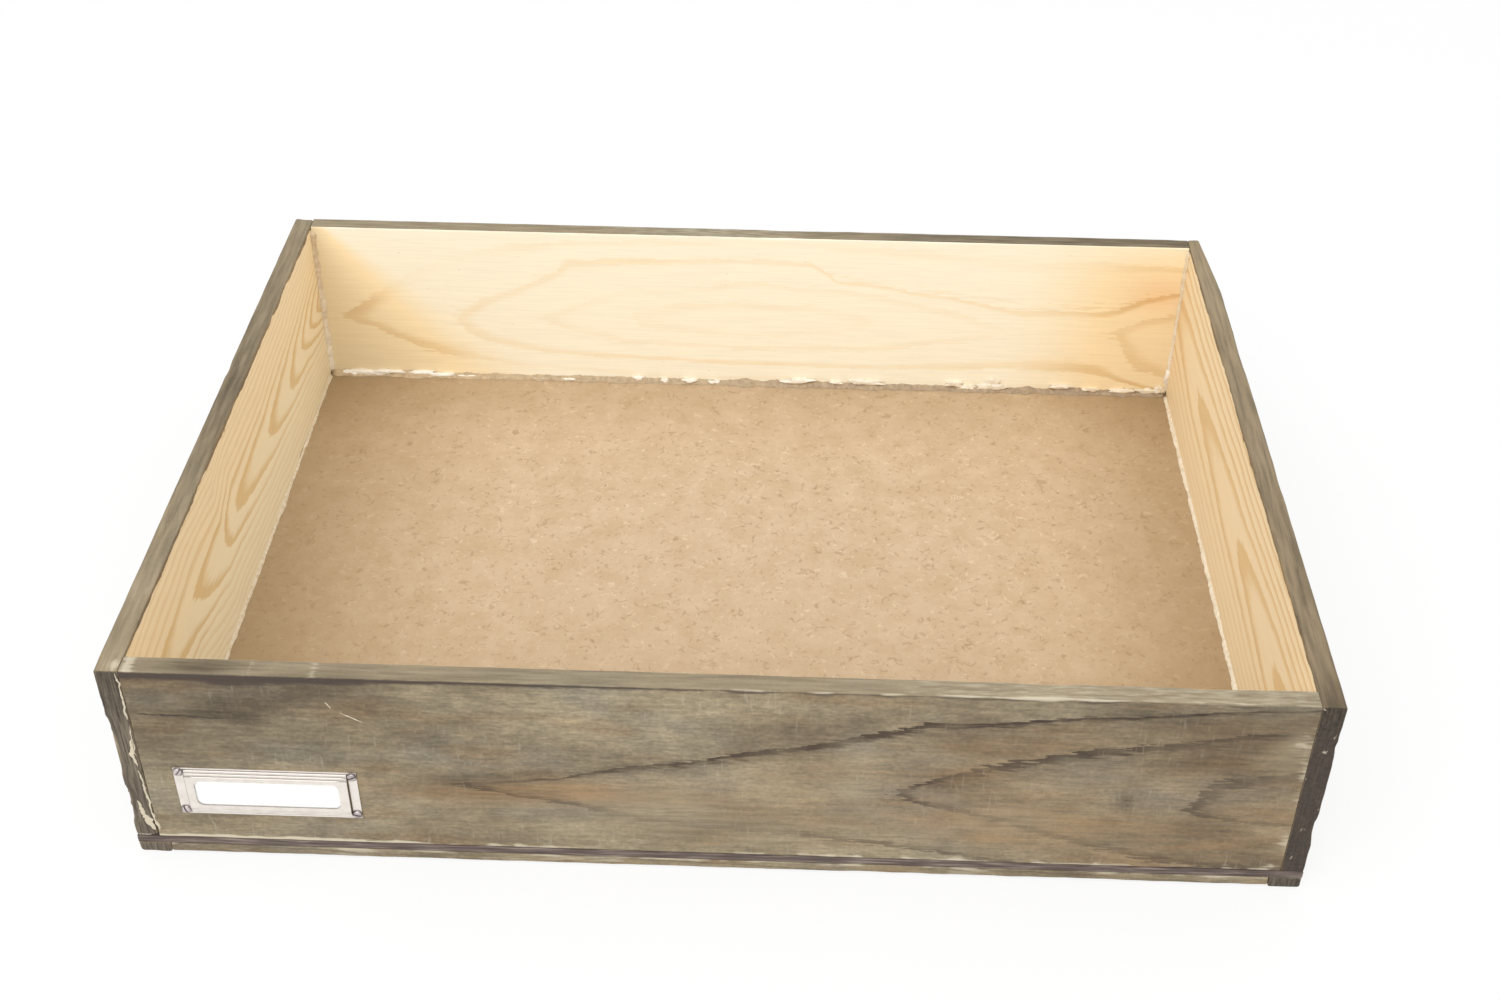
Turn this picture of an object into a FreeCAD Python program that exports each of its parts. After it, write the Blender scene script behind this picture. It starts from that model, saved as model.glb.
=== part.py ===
"""A shallow wooden drawer tray with a pressed label holder on its front.

Millimetres. +X runs to the right along the front, +Y away from the front, +Z up.
The origin is at the middle of the footprint, on the surface that the runners stand on.
"""
import FreeCAD
import Part
import Sketcher
import math
import os
import re

# Driving dimensions, by the piece that carries them.
SIZES = {
    # the box
    "outer_width": 500.0,
    "outer_depth": 368.0,
    "board_height": 96.0,
    "side_thickness": 10.0,
    "end_thickness": 9.5,
    "arris_round": 0.8,
    # the hardboard bottom
    "panel_thickness": 4.0,
    # the base ring: runners under the sides, thinner strips under front and back
    "runner_width": 14.0,
    "runner_thickness": 6.0,
    "runner_round": 1.0,
    "strip_width": 14.0,
    "strip_thickness": 5.4,
    # wire nails
    "nail_shank": 1.6,
    "nail_head": 3.4,
    "nail_head_thickness": 0.6,
    "nail_point": 2.4,
    "nail_tip": 0.3,
    "nail_fit": 0.06,
    "corner_nail_length": 32.0,
    "corner_nail_edge": 24.0,
    "base_nail_length": 20.0,
    "runner_nail_inset": 34.0,
    "strip_nail_inset": 30.0,
    # the pressed label holder, measured from the front board's lower left corner
    "label_left": 23.0,
    "label_rise": 16.0,
    "label_width": 77.0,
    "label_height": 27.0,
    "label_stand": 2.1,
    "label_sheet": 0.6,
    "label_ear": 4.1,
    "label_rim": 1.0,
    "label_rib": 1.4,
    "label_rib_round": 0.2,
    "window_side": 3.9,
    "window_land": 2.45,
    "window_corner": 3.0,
    # the holder's round-head screws
    "screw_edge": 2.4,
    "screw_head": 3.8,
    "screw_head_height": 1.1,
    "screw_shank": 2.0,
    "screw_length": 7.5,
    "screw_point": 2.5,
    "screw_slot_width": 0.5,
    "screw_slot_depth": 0.5,
    "screw_fit": 0.1,
    # the card in the holder
    "card_thickness": 0.3,
    "card_clearance": 0.3,
    "card_inset": 0.6,
    # dried glue along the inner lines
    "floor_bead": 2.2,
    "corner_bead": 1.6,
    "corner_bead_height": 70.0,
    # what a cut runs past the solid
    "overrun": 1.0,
}

# How many copies stand in each row.
COUNTS = {
    "corner_nail_count": 3,
    "runner_nail_count": 4,
    "strip_nail_count": 5,
    "pair_count": 2,
}

LABEL_RIB_COUNT = 3
NAIL_FLAT_COUNT = 8
BEAD_ANGLE = 90.0

# Sums that several pieces share, in the words of the sheet.
INNER_WIDTH = "(outer_width - 2 * side_thickness)"
INNER_DEPTH = "(outer_depth - 2 * end_thickness)"
STRIP_LENGTH = "(outer_width - 2 * runner_width)"
FLOOR_HEIGHT = "(runner_thickness + panel_thickness)"
CORNER_NAIL_ROW = "(board_height - 2 * corner_nail_edge)"
RUNNER_NAIL_ROW = "(outer_depth - 2 * runner_nail_inset)"
STRIP_NAIL_ROW = "(outer_width - 2 * runner_width - 2 * strip_nail_inset)"
NAIL_HOLE = "(nail_shank + nail_fit)"
NAIL_RECESS = "(nail_head + nail_fit)"
WINDOW_LEFT = "(label_ear + window_side)"
WINDOW_LOW = f"(label_rim + {LABEL_RIB_COUNT - 1} * label_rib + window_land)"

# The solid's own X, Y and Z axes, as they point in the drawer's frame.
UPRIGHT = ((1, 0, 0), (0, 1, 0), (0, 0, 1))
TURNED_BACK = ((-1, 0, 0), (0, -1, 0), (0, 0, 1))
INWARD_FROM_LEFT = ((0, -1, 0), (1, 0, 0), (0, 0, 1))
INWARD_FROM_RIGHT = ((0, 1, 0), (-1, 0, 0), (0, 0, 1))
UP_ROW_TO_RIGHT = ((0, 0, 1), (0, -1, 0), (1, 0, 0))
UP_ROW_TO_LEFT = ((0, 0, 1), (0, 1, 0), (-1, 0, 0))
BACK_ROW_UP = ((0, 1, 0), (-1, 0, 0), (0, 0, 1))
OUT_OF_FRONT = ((1, 0, 0), (0, 0, 1), (0, -1, 0))
BEAD_FRONT = ((0, 1, 0), (0, 0, 1), (1, 0, 0))
BEAD_BACK = ((0, 0, 1), (0, -1, 0), (1, 0, 0))
BEAD_LEFT = ((0, 0, 1), (1, 0, 0), (0, 1, 0))
BEAD_RIGHT = ((-1, 0, 0), (0, 0, 1), (0, 1, 0))

doc = FreeCAD.newDocument("drawer_tray")
sheet = doc.addObject("Spreadsheet::Sheet", "Sizes")
pieces = []


def fill_sheet():
    """One row for each size: its name beside its value."""
    rows = list(SIZES.items()) + list(COUNTS.items())
    for row, (name, value) in enumerate(rows, start=1):
        sheet.set(f"A{row}", name)
        sheet.set(f"B{row}", str(value))
        sheet.setAlias(f"B{row}", name)
    doc.recompute()


def bind(thing, what, formula):
    """Ties a property to a formula in the words of the sheet."""
    names = SIZES.keys() | COUNTS.keys()
    thing.setExpression(what, re.sub(
        r"[a-z_]+", lambda word: f"Sizes.{word[0]}" if word[0] in names else word[0], formula))


def place(piece, axes, x, y, z=None):
    """Turns a piece so that its own axes point as given, and ties its place to the sheet."""
    turn = FreeCAD.Rotation(*[FreeCAD.Vector(*axis) for axis in axes], "XYZ")
    piece.Placement = FreeCAD.Placement(FreeCAD.Vector(), turn)
    bind(piece, "Placement.Base.x", x)
    bind(piece, "Placement.Base.y", y)
    if z:
        bind(piece, "Placement.Base.z", z)


def new_body(label):
    """An empty body, kept as one of the drawer's pieces."""
    body = doc.addObject("PartDesign::Body", label)
    body.Label = label
    pieces.append(body)
    return body


def new_sketch(body, role, level=None):
    """A sketch on one of the body's origin planes, lifted to a level along its normal."""
    sketch = body.newObject("Sketcher::SketchObject", "sketch")
    plane = [feature for feature in body.Origin.OriginFeatures if feature.Role == role][0]
    sketch.AttachmentSupport = (plane, [""])
    sketch.MapMode = "FlatFace"
    if level:
        bind(sketch, "AttachmentOffset.Base.z", level)
    return sketch


def from_origin(sketch, kind, geometry, end, *start):
    """Ties a point to the sketch's origin, which is point 1 of the axis numbered -1."""
    return sketch.addConstraint(Sketcher.Constraint(kind, -1, 1, geometry, end, *start))


def fix_point(sketch, geometry, end, across, up):
    """Holds a point at named distances from the sketch's origin. None puts it on the axis."""
    for in_line, kind, formula in (("Vertical", "DistanceX", across), ("Horizontal", "DistanceY", up)):
        if formula is None:
            from_origin(sketch, in_line, geometry, end)
        else:
            held = from_origin(sketch, kind, geometry, end, 1)
            bind(sketch, f"Constraints[{held}]", formula)


def outline(sketch, corners, crown=None):
    """A closed outline through corners given in named sizes. The side numbered crown is an arc about V."""
    turns = [2 * math.pi * step / len(corners) for step in range(len(corners))]
    starts = [FreeCAD.Vector(math.cos(turn), math.sin(turn), 0) for turn in turns]
    for side, (start, end) in enumerate(zip(starts, starts[1:] + starts[:1])):
        if side == crown:
            ring = Part.Circle(FreeCAD.Vector(), FreeCAD.Vector(0, 0, 1), 1)
            sketch.addGeometry(Part.ArcOfCircle(ring, 0, math.pi / 2), False)
            from_origin(sketch, "Vertical", side, 3)
        else:
            sketch.addGeometry(Part.LineSegment(start, end), False)
    for side in range(len(corners)):
        following = (side + 1) % len(corners)
        sketch.addConstraint(Sketcher.Constraint("Coincident", side, 2, following, 1))
    for side, (across, up) in enumerate(corners):
        fix_point(sketch, side, 1, across, up)


def rectangle(sketch, left, low, right, high):
    """An upright rectangle between named distances from the sketch's origin."""
    outline(sketch, [(left, low), (right, low), (right, high), (left, high)])


def centred_rectangle(sketch, width, height):
    """A rectangle about the sketch's origin."""
    corners = [FreeCAD.Vector(*corner, 0) for corner in ((-1, -1), (1, -1), (1, 1), (-1, 1))]
    for start, end in zip(corners, corners[1:] + corners[:1]):
        sketch.addGeometry(Part.LineSegment(start, end), False)
    for side, direction in enumerate(("Horizontal", "Vertical", "Horizontal", "Vertical")):
        sketch.addConstraint(Sketcher.Constraint("Coincident", side, 2, (side + 1) % len(corners), 1))
        sketch.addConstraint(Sketcher.Constraint(direction, side))
    sketch.addConstraint(Sketcher.Constraint("Symmetric", 0, 1, 2, 1, -1, 1))
    for kind, side, formula in (("DistanceX", 0, width), ("DistanceY", 1, height)):
        held = sketch.addConstraint(Sketcher.Constraint(kind, side, 1, side, 2, 1))
        bind(sketch, f"Constraints[{held}]", formula)


def circle(sketch, across, up, diameter):
    """A circle about a point at named distances from the sketch's origin."""
    ring = Part.Circle(FreeCAD.Vector(1, 1, 0), FreeCAD.Vector(0, 0, 1), 1)
    sketch.addGeometry(ring, False)
    fix_point(sketch, 0, 3, across, up)
    held = sketch.addConstraint(Sketcher.Constraint("Diameter", 0, 1))
    bind(sketch, f"Constraints[{held}]", diameter)


def flats(sketch, across, up, diameter):
    """The section of a wire nail, drawn with a few flat sides so that the many nails stay light."""
    turns = [2 * math.pi * (flat + 1 / 2) / NAIL_FLAT_COUNT for flat in range(NAIL_FLAT_COUNT)]
    outline(sketch, [
        (f"{across or 0} + {math.cos(turn):.9f} * {diameter} / 2",
         f"{up or 0} + {math.sin(turn):.9f} * {diameter} / 2")
        for turn in turns])


def pad(body, sketch, length, taper=None):
    """Thickens a sketch along its normal. A negative taper draws the far end in."""
    feature = body.newObject("PartDesign::Pad", "pad")
    feature.Profile = sketch
    bind(feature, "Length", length)
    if taper:
        bind(feature, "TaperAngle", taper)
    doc.recompute()
    return feature


def cut(body, sketch, depth, along_normal=False):
    """Sinks a sketch into the body, against its normal or along it."""
    before = body.Shape.Volume
    feature = body.newObject("PartDesign::Pocket", "cut")
    feature.Profile = sketch
    feature.Reversed = along_normal
    bind(feature, "Length", depth)
    doc.recompute()
    if body.Shape.Volume >= before:
        raise RuntimeError(f"{body.Label}: a cut removes nothing")
    return feature


def repeat(body, features, rows):
    """Repeats features along one or two origin axes. Each row is an axis, a length and a count."""
    pattern = body.newObject("PartDesign::LinearPattern", "row")
    pattern.Originals = features
    for suffix, (role, length, count) in zip(("", "2"), rows):
        axis = [feature for feature in body.Origin.OriginFeatures if feature.Role == role][0]
        setattr(pattern, "Direction" + suffix, (axis, [""]))
        bind(pattern, "Length" + suffix, length)
        bind(pattern, "Occurrences" + suffix, count)
    body.Tip = pattern
    doc.recompute()
    return pattern


def round_edges(body, base, radius, chosen):
    """Rounds the straight edges that chosen picks by their middle and direction."""
    box = base.Shape.BoundBox
    names = []
    for number, edge in enumerate(base.Shape.Edges, start=1):
        run = edge.Vertexes[-1].Point - edge.Vertexes[0].Point
        if run.Length > 0 and chosen(box, edge.CenterOfMass, run.normalize()):
            names.append(f"Edge{number}")
    fillet = body.newObject("PartDesign::Fillet", "rounding")
    fillet.Base = (base, names)
    bind(fillet, "Radius", radius)
    doc.recompute()
    return fillet


def close(a, b):
    """True where two places are the same, as closely as the solids are made."""
    return abs(a - b) < Part.Vertex(FreeCAD.Vector()).Tolerance


def plank(label, length, thickness, rounds_ends):
    """A board on edge: its outer face at y = 0, its lower edge at z = 0, its arrises rounded."""
    body = new_body(label)
    sketch = new_sketch(body, "XY_Plane")
    rectangle(sketch, None, None, length, thickness)
    board = pad(body, sketch, "board_height")

    def worn(box, middle, run):
        along_rim = close(abs(run.x), 1) and close(middle.z, box.ZMax)
        outer_foot = close(abs(run.x), 1) and close(middle.z, box.ZMin) and close(middle.y, box.YMin)
        outer_end = rounds_ends and close(abs(run.z), 1) and close(middle.y, box.YMin)
        return along_rim or outer_foot or outer_end

    round_edges(body, board, "arris_round", worn)
    return body


def nail_holes_from_below(body, across, up, depth, rows):
    """A row of blind or through holes that start at the body's underside."""
    sketch = new_sketch(body, "XY_Plane")
    flats(sketch, across, up, NAIL_HOLE)
    repeat(body, [cut(body, sketch, depth, along_normal=True)], rows)


def side_board(label, axes, x, y):
    """A side board, with countersunk holes at both ends for the nails into the end boards."""
    body = plank(label, "outer_depth", "side_thickness", rounds_ends=True)
    shank = new_sketch(body, "XZ_Plane")
    flats(shank, "end_thickness / 2", "corner_nail_edge", NAIL_HOLE)
    drilled = cut(body, shank, "side_thickness + overrun")
    head = new_sketch(body, "XZ_Plane")
    flats(head, "end_thickness / 2", "corner_nail_edge", NAIL_RECESS)
    recessed = cut(body, head, "nail_head_thickness")
    repeat(body, [drilled, recessed], [
        ("Z_Axis", CORNER_NAIL_ROW, "corner_nail_count"),
        ("X_Axis", "outer_depth - end_thickness", "pair_count"),
    ])
    nail_holes_from_below(
        body, "runner_nail_inset", "side_thickness / 2",
        "base_nail_length - runner_thickness - panel_thickness + nail_fit",
        [("X_Axis", RUNNER_NAIL_ROW, "runner_nail_count")])
    place(body, axes, x, y, FLOOR_HEIGHT)


def end_board(label, axes, x, y):
    """A front or back board between the sides, with nail holes in its end grain and its foot."""
    body = plank(label, INNER_WIDTH, "end_thickness", rounds_ends=False)
    depth = "(corner_nail_length - side_thickness + nail_fit)"
    sketch = new_sketch(body, "YZ_Plane")
    flats(sketch, "end_thickness / 2", "corner_nail_edge", NAIL_HOLE)
    repeat(body, [cut(body, sketch, depth, along_normal=True)], [
        ("Z_Axis", CORNER_NAIL_ROW, "corner_nail_count"),
        ("X_Axis", f"{INNER_WIDTH} - {depth}", "pair_count"),
    ])
    nail_holes_from_below(
        body, "runner_width - side_thickness + strip_nail_inset", "end_thickness / 2",
        "base_nail_length - strip_thickness - panel_thickness + nail_fit",
        [("X_Axis", STRIP_NAIL_ROW, "strip_nail_count")])
    place(body, axes, x, y, FLOOR_HEIGHT)
    return body


def label_screw_holes(body, across, up, diameter, depth, along_normal):
    """Four holes at the corners of the label holder."""
    sketch = new_sketch(body, "XZ_Plane")
    circle(sketch, across, up, diameter)
    repeat(body, [cut(body, sketch, depth, along_normal)], [
        ("X_Axis", "label_width - label_ear", "pair_count"),
        ("Z_Axis", "label_height - 2 * screw_edge", "pair_count"),
    ])


def boards():
    """The four boards of the box: the sides run the full depth, front and back stand between them."""
    side_board("left_side_board", INWARD_FROM_LEFT, "-outer_width / 2", "outer_depth / 2")
    side_board("right_side_board", INWARD_FROM_RIGHT, "outer_width / 2", "-outer_depth / 2")
    end_board("back_board", TURNED_BACK, f"{INNER_WIDTH} / 2", "outer_depth / 2")
    front = end_board("front_board", UPRIGHT, f"-{INNER_WIDTH} / 2", "-outer_depth / 2")
    label_screw_holes(
        front, "label_left - side_thickness + label_ear / 2", "label_rise + screw_edge",
        "screw_shank + screw_fit", "screw_length - label_sheet + screw_fit", along_normal=False)


def bottom_panel():
    """The hardboard bottom under all four boards, drilled for the nails of the base ring."""
    body = new_body("bottom_panel")
    sketch = new_sketch(body, "XY_Plane")
    rectangle(sketch, None, None, "outer_width", "outer_depth")
    pad(body, sketch, "panel_thickness")
    through = "panel_thickness + overrun"
    nail_holes_from_below(body, "side_thickness / 2", "runner_nail_inset", through, [
        ("Y_Axis", RUNNER_NAIL_ROW, "runner_nail_count"),
        ("X_Axis", "outer_width - side_thickness", "pair_count"),
    ])
    nail_holes_from_below(body, "runner_width + strip_nail_inset", "end_thickness / 2", through, [
        ("X_Axis", STRIP_NAIL_ROW, "strip_nail_count"),
        ("Y_Axis", "outer_depth - end_thickness", "pair_count"),
    ])
    place(body, UPRIGHT, "-outer_width / 2", "-outer_depth / 2", "runner_thickness")


def base_strip(label, length, width, thickness, inset, board, row, axes, x, y):
    """A strip of the base ring: its outer side at y = 0, its lower long edges rounded by wear."""
    body = new_body(label)
    sketch = new_sketch(body, "XY_Plane")
    rectangle(sketch, None, None, length, width)
    strip = pad(body, sketch, thickness)
    round_edges(body, strip, "runner_round",
                lambda box, middle, run: close(abs(run.x), 1) and close(middle.z, box.ZMin))
    shank = new_sketch(body, "XY_Plane")
    flats(shank, inset, f"{board} / 2", NAIL_HOLE)
    drilled = cut(body, shank, f"{thickness} + overrun", along_normal=True)
    head = new_sketch(body, "XY_Plane")
    flats(head, inset, f"{board} / 2", NAIL_RECESS)
    recessed = cut(body, head, "nail_head_thickness", along_normal=True)
    repeat(body, [drilled, recessed], [row])
    place(body, axes, x, y, f"runner_thickness - {thickness}")


def base_ring():
    """Runners of the full depth under the sides, and a strip between them at front and back."""
    runner = ("outer_depth", "runner_width", "runner_thickness", "runner_nail_inset", "side_thickness",
              ("X_Axis", RUNNER_NAIL_ROW, "runner_nail_count"))
    strip = (STRIP_LENGTH, "strip_width", "strip_thickness", "strip_nail_inset", "end_thickness",
             ("X_Axis", STRIP_NAIL_ROW, "strip_nail_count"))
    base_strip("left_runner", *runner, INWARD_FROM_LEFT, "-outer_width / 2", "outer_depth / 2")
    base_strip("right_runner", *runner, INWARD_FROM_RIGHT, "outer_width / 2", "-outer_depth / 2")
    base_strip("front_base_strip", *strip, UPRIGHT, f"-{STRIP_LENGTH} / 2", "-outer_depth / 2")
    base_strip("back_base_strip", *strip, TURNED_BACK, f"{STRIP_LENGTH} / 2", "outer_depth / 2")


def nails(label, length, row, axes, x, y, z=None):
    """A row of wire nails along X: flat heads at z = 0, shanks and points along +Z."""
    body = new_body(label)
    tapering = f"{length} - nail_point"
    nail = []
    for diameter, level, run, taper in (
            ("nail_head", None, "nail_head_thickness", None),
            ("nail_shank", None, tapering, None),
            ("nail_shank", tapering, "nail_point", "-atan((nail_shank - nail_tip) / (2 * nail_point))")):
        sketch = new_sketch(body, "XY_Plane", level)
        flats(sketch, None, None, diameter)
        nail.append(pad(body, sketch, run, taper))
    repeat(body, nail, [row])
    place(body, axes, x, y, z)


def all_nails():
    """Rows through the sides into the end grain, and rows up through the base ring and the panel."""
    corner_row = ("X_Axis", CORNER_NAIL_ROW, "corner_nail_count")
    foot = f"{FLOOR_HEIGHT} + corner_nail_edge"
    for end, y in (("front", "(end_thickness - outer_depth) / 2"),
                   ("back", "(outer_depth - end_thickness) / 2")):
        nails(f"{end}_left_corner_nails", "corner_nail_length", corner_row,
              UP_ROW_TO_RIGHT, "-outer_width / 2", y, foot)
        nails(f"{end}_right_corner_nails", "corner_nail_length", corner_row,
              UP_ROW_TO_LEFT, "outer_width / 2", y, foot)
        nails(f"{end}_strip_nails", "base_nail_length",
              ("X_Axis", STRIP_NAIL_ROW, "strip_nail_count"), UPRIGHT,
              f"-{STRIP_NAIL_ROW} / 2", y, "runner_thickness - strip_thickness")
    for side, x in (("left", "(side_thickness - outer_width) / 2"),
                    ("right", "(outer_width - side_thickness) / 2")):
        nails(f"{side}_runner_nails", "base_nail_length",
              ("X_Axis", RUNNER_NAIL_ROW, "runner_nail_count"), BACK_ROW_UP,
              x, f"-{RUNNER_NAIL_ROW} / 2")


def label_frame():
    """The pressed holder: a flat plate raised in ribbed steps, hollow behind, open at its right end."""
    body = new_body("label_frame")
    plate = new_sketch(body, "XZ_Plane")
    rectangle(plate, None, None, "label_width", "label_height")
    pad(body, plate, "label_sheet")
    insets = [f"(label_rim + {rib} * label_rib)" for rib in range(LABEL_RIB_COUNT)]
    levels = [f"(label_sheet + {rib + 1} * (label_stand - label_sheet) / {LABEL_RIB_COUNT})"
              for rib in range(LABEL_RIB_COUNT)]

    def crest(box, middle, run):
        left_end = close(abs(run.z), 1) and middle.x < box.Center.x
        return close(middle.y, box.YMin) and (close(abs(run.x), 1) or left_end)

    for inset, level in zip(insets, levels):
        rib = new_sketch(body, "XZ_Plane")
        rectangle(rib, "label_ear", inset, "label_width - label_ear", f"label_height - {inset}")
        round_edges(body, pad(body, rib, level), "label_rib_round", crest)
    for inset, level in zip(insets, levels):
        hollow = new_sketch(body, "XZ_Plane")
        rectangle(hollow, "label_ear + label_sheet", f"{inset} + label_sheet",
                  "label_width - label_ear", f"label_height - {inset} - label_sheet")
        cut(body, hollow, f"{level} - label_sheet", along_normal=True)
    window = new_sketch(body, "XZ_Plane")
    rectangle(window, WINDOW_LEFT, WINDOW_LOW,
              f"label_width - {WINDOW_LEFT}", f"label_height - {WINDOW_LOW}")
    opened = cut(body, window, "label_stand + overrun", along_normal=True)

    def window_corner(box, middle, run):
        from_end = min(middle.x - box.XMin, box.XMax - middle.x)
        return close(abs(run.y), 1) and close(from_end, SIZES["label_ear"] + SIZES["window_side"])

    round_edges(body, opened, "window_corner", window_corner)
    label_screw_holes(body, "label_ear / 2", "screw_edge", "screw_shank + screw_fit",
                      "label_sheet + overrun", along_normal=True)
    place(body, UPRIGHT, "label_left - outer_width / 2", "-outer_depth / 2", f"{FLOOR_HEIGHT} + label_rise")


def label_screws():
    """Four slotted round-head screws: points at z = 0, heads seated on the holder's ears."""
    body = new_body("label_screws")
    sketch = new_sketch(body, "XZ_Plane")
    head_rim = ("screw_head / 2", "screw_length")
    profile = [
        (None, None),
        ("screw_shank / 2", "screw_point"),
        ("screw_shank / 2", "screw_length"),
        head_rim,
        (None, "screw_length + screw_head_height"),
    ]
    outline(sketch, profile, crown=profile.index(head_rim))
    screw = body.newObject("PartDesign::Revolution", "turned")
    screw.Profile = sketch
    screw.ReferenceAxis = (sketch, ["V_Axis"])
    doc.recompute()
    slot = new_sketch(body, "XY_Plane", "screw_length + screw_head_height - screw_slot_depth")
    centred_rectangle(slot, "screw_slot_width", "screw_head + 2 * overrun")
    slotted = cut(body, slot, "screw_slot_depth + overrun", along_normal=True)
    repeat(body, [screw, slotted], [
        ("X_Axis", "label_width - label_ear", "pair_count"),
        ("Y_Axis", "label_height - 2 * screw_edge", "pair_count"),
    ])
    place(body, OUT_OF_FRONT, "label_left + label_ear / 2 - outer_width / 2",
          "screw_length - label_sheet - outer_depth / 2", f"{FLOOR_HEIGHT} + label_rise + screw_edge")


def label_card():
    """The card: as tall as the gap between the screw heads, behind the window, clear of the ears."""
    body = new_body("label_card")
    sketch = new_sketch(body, "XZ_Plane")
    rectangle(sketch, None, None,
              "label_width - 2 * label_ear - label_sheet - card_clearance - card_inset",
              "label_height - 2 * screw_edge - screw_head - 2 * card_clearance")
    pad(body, sketch, "card_thickness")
    place(body, UPRIGHT, "label_left + label_ear + label_sheet + card_clearance - outer_width / 2",
          "-outer_depth / 2 - label_sheet - card_clearance",
          f"{FLOOR_HEIGHT} + label_rise + screw_edge + screw_head / 2 + card_clearance")


def bead(label, radius, length, axes, x, y, z):
    """A quarter-round bead of dried glue, its two flat sides in an inner corner of the box."""
    piece = doc.addObject("Part::Cylinder", label)
    piece.Label = label
    piece.Angle = BEAD_ANGLE
    bind(piece, "Radius", radius)
    bind(piece, "Height", length)
    place(piece, axes, x, y, z)
    pieces.append(piece)


def glue():
    """Beads along the four floor lines, and up the four inner corners from there."""
    left, right = f"-{INNER_WIDTH} / 2", f"{INNER_WIDTH} / 2"
    front, back = f"-{INNER_DEPTH} / 2", f"{INNER_DEPTH} / 2"
    bead("front_floor_glue", "floor_bead", INNER_WIDTH, BEAD_FRONT, left, front, FLOOR_HEIGHT)
    bead("back_floor_glue", "floor_bead", INNER_WIDTH, BEAD_BACK, left, back, FLOOR_HEIGHT)
    between = f"{INNER_DEPTH} - 2 * floor_bead"
    start = f"{front} + floor_bead"
    bead("left_floor_glue", "floor_bead", between, BEAD_LEFT, left, start, FLOOR_HEIGHT)
    bead("right_floor_glue", "floor_bead", between, BEAD_RIGHT, right, start, FLOOR_HEIGHT)
    for label, axes, x, y in (
            ("front_left_corner_glue", UPRIGHT, left, front),
            ("front_right_corner_glue", INWARD_FROM_RIGHT, right, front),
            ("back_left_corner_glue", INWARD_FROM_LEFT, left, back),
            ("back_right_corner_glue", TURNED_BACK, right, back)):
        bead(label, "corner_bead", "corner_bead_height", axes, x, y, f"{FLOOR_HEIGHT} + floor_bead")


def write_pieces():
    """Checks every object, then writes one file for each piece."""
    doc.recompute()
    for thing in doc.Objects:
        if "Invalid" in thing.State or "Error" in thing.State:
            raise RuntimeError(f"{thing.Label} failed: {thing.State}")
    for piece in pieces:
        if piece.Shape.isNull() or not piece.Shape.isValid():
            raise RuntimeError(f"{piece.Label} has no valid shape")
    os.makedirs("parts", exist_ok=True)
    for piece in pieces:
        piece.Shape.exportStep(f"parts/{piece.Label}.step")
        print(f"{piece.Label}: {len(piece.Shape.Solids)} solids, {piece.Shape.Volume:.1f} mm3")


fill_sheet()
boards()
bottom_panel()
base_ring()
all_nails()
label_frame()
label_screws()
label_card()
glue()
write_pieces()
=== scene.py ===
"""A weathered drawer tray with a pressed label holder, dressed and lit in a white studio.

Every array is in millimetres in the frame of the CAD model: +X along the front, +Y to the back, +Z up.
"""
from functools import partial

import bmesh
import bpy
import numpy as np
from mathutils import Matrix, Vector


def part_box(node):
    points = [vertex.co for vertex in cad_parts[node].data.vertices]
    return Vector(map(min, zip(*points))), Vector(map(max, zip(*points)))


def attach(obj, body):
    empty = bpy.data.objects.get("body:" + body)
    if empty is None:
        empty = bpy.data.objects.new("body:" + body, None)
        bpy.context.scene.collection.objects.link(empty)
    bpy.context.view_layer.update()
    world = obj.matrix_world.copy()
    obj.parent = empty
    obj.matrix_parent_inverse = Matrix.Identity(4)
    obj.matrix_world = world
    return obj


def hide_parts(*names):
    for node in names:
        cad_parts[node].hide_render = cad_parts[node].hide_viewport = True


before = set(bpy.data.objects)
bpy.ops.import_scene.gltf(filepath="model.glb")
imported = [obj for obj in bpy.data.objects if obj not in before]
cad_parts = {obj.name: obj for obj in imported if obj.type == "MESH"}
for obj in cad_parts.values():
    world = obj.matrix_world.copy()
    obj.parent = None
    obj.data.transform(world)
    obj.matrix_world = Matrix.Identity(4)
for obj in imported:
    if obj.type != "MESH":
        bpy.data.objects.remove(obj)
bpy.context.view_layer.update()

MM = 0.001


def node_box(name):
    """The lowest and highest corner of a CAD node, in millimetres."""
    return [np.array(corner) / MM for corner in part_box(name)]


def cells(whole, seed):
    """A number from 0 to 1 for each cell of a lattice: the fraction of a large multiple of a sine."""
    return np.sin(whole @ np.array([12.9898, 78.233, 37.719]) + seed * 4.137) * 43758.5453 % 1.0


def waver(points, size, seed, layers=3):
    """Smooth noise from 0 to 1. Random values at the corners of cells of the given size are blended with a
    smooth step. Each further layer has half the cell and half the height."""
    total, height = 0.0, 0.0
    for layer in range(layers):
        place = points / size * 2 ** layer
        whole = np.floor(place)
        part = place - whole
        part = part * part * (3 - 2 * part)
        for corner in np.ndindex(2, 2, 2):
            weight = np.where(np.array(corner) > 0, part, 1 - part).prod(axis=-1)
            total = total + weight * cells(whole + corner, seed + layer) / 2 ** layer
        height += 1 / 2 ** layer
    return total / height


def ease(value, start, end):
    """A smooth step from 0 at start to 1 at end."""
    part = np.clip((value - start) / (end - start), 0, 1)
    return part * part * (3 - 2 * part)


def bell(value, middle, width):
    """A bell curve: 1 at the middle, and a little over a third one width away from it."""
    return np.exp(-((value - middle) / width) ** 2)


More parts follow.
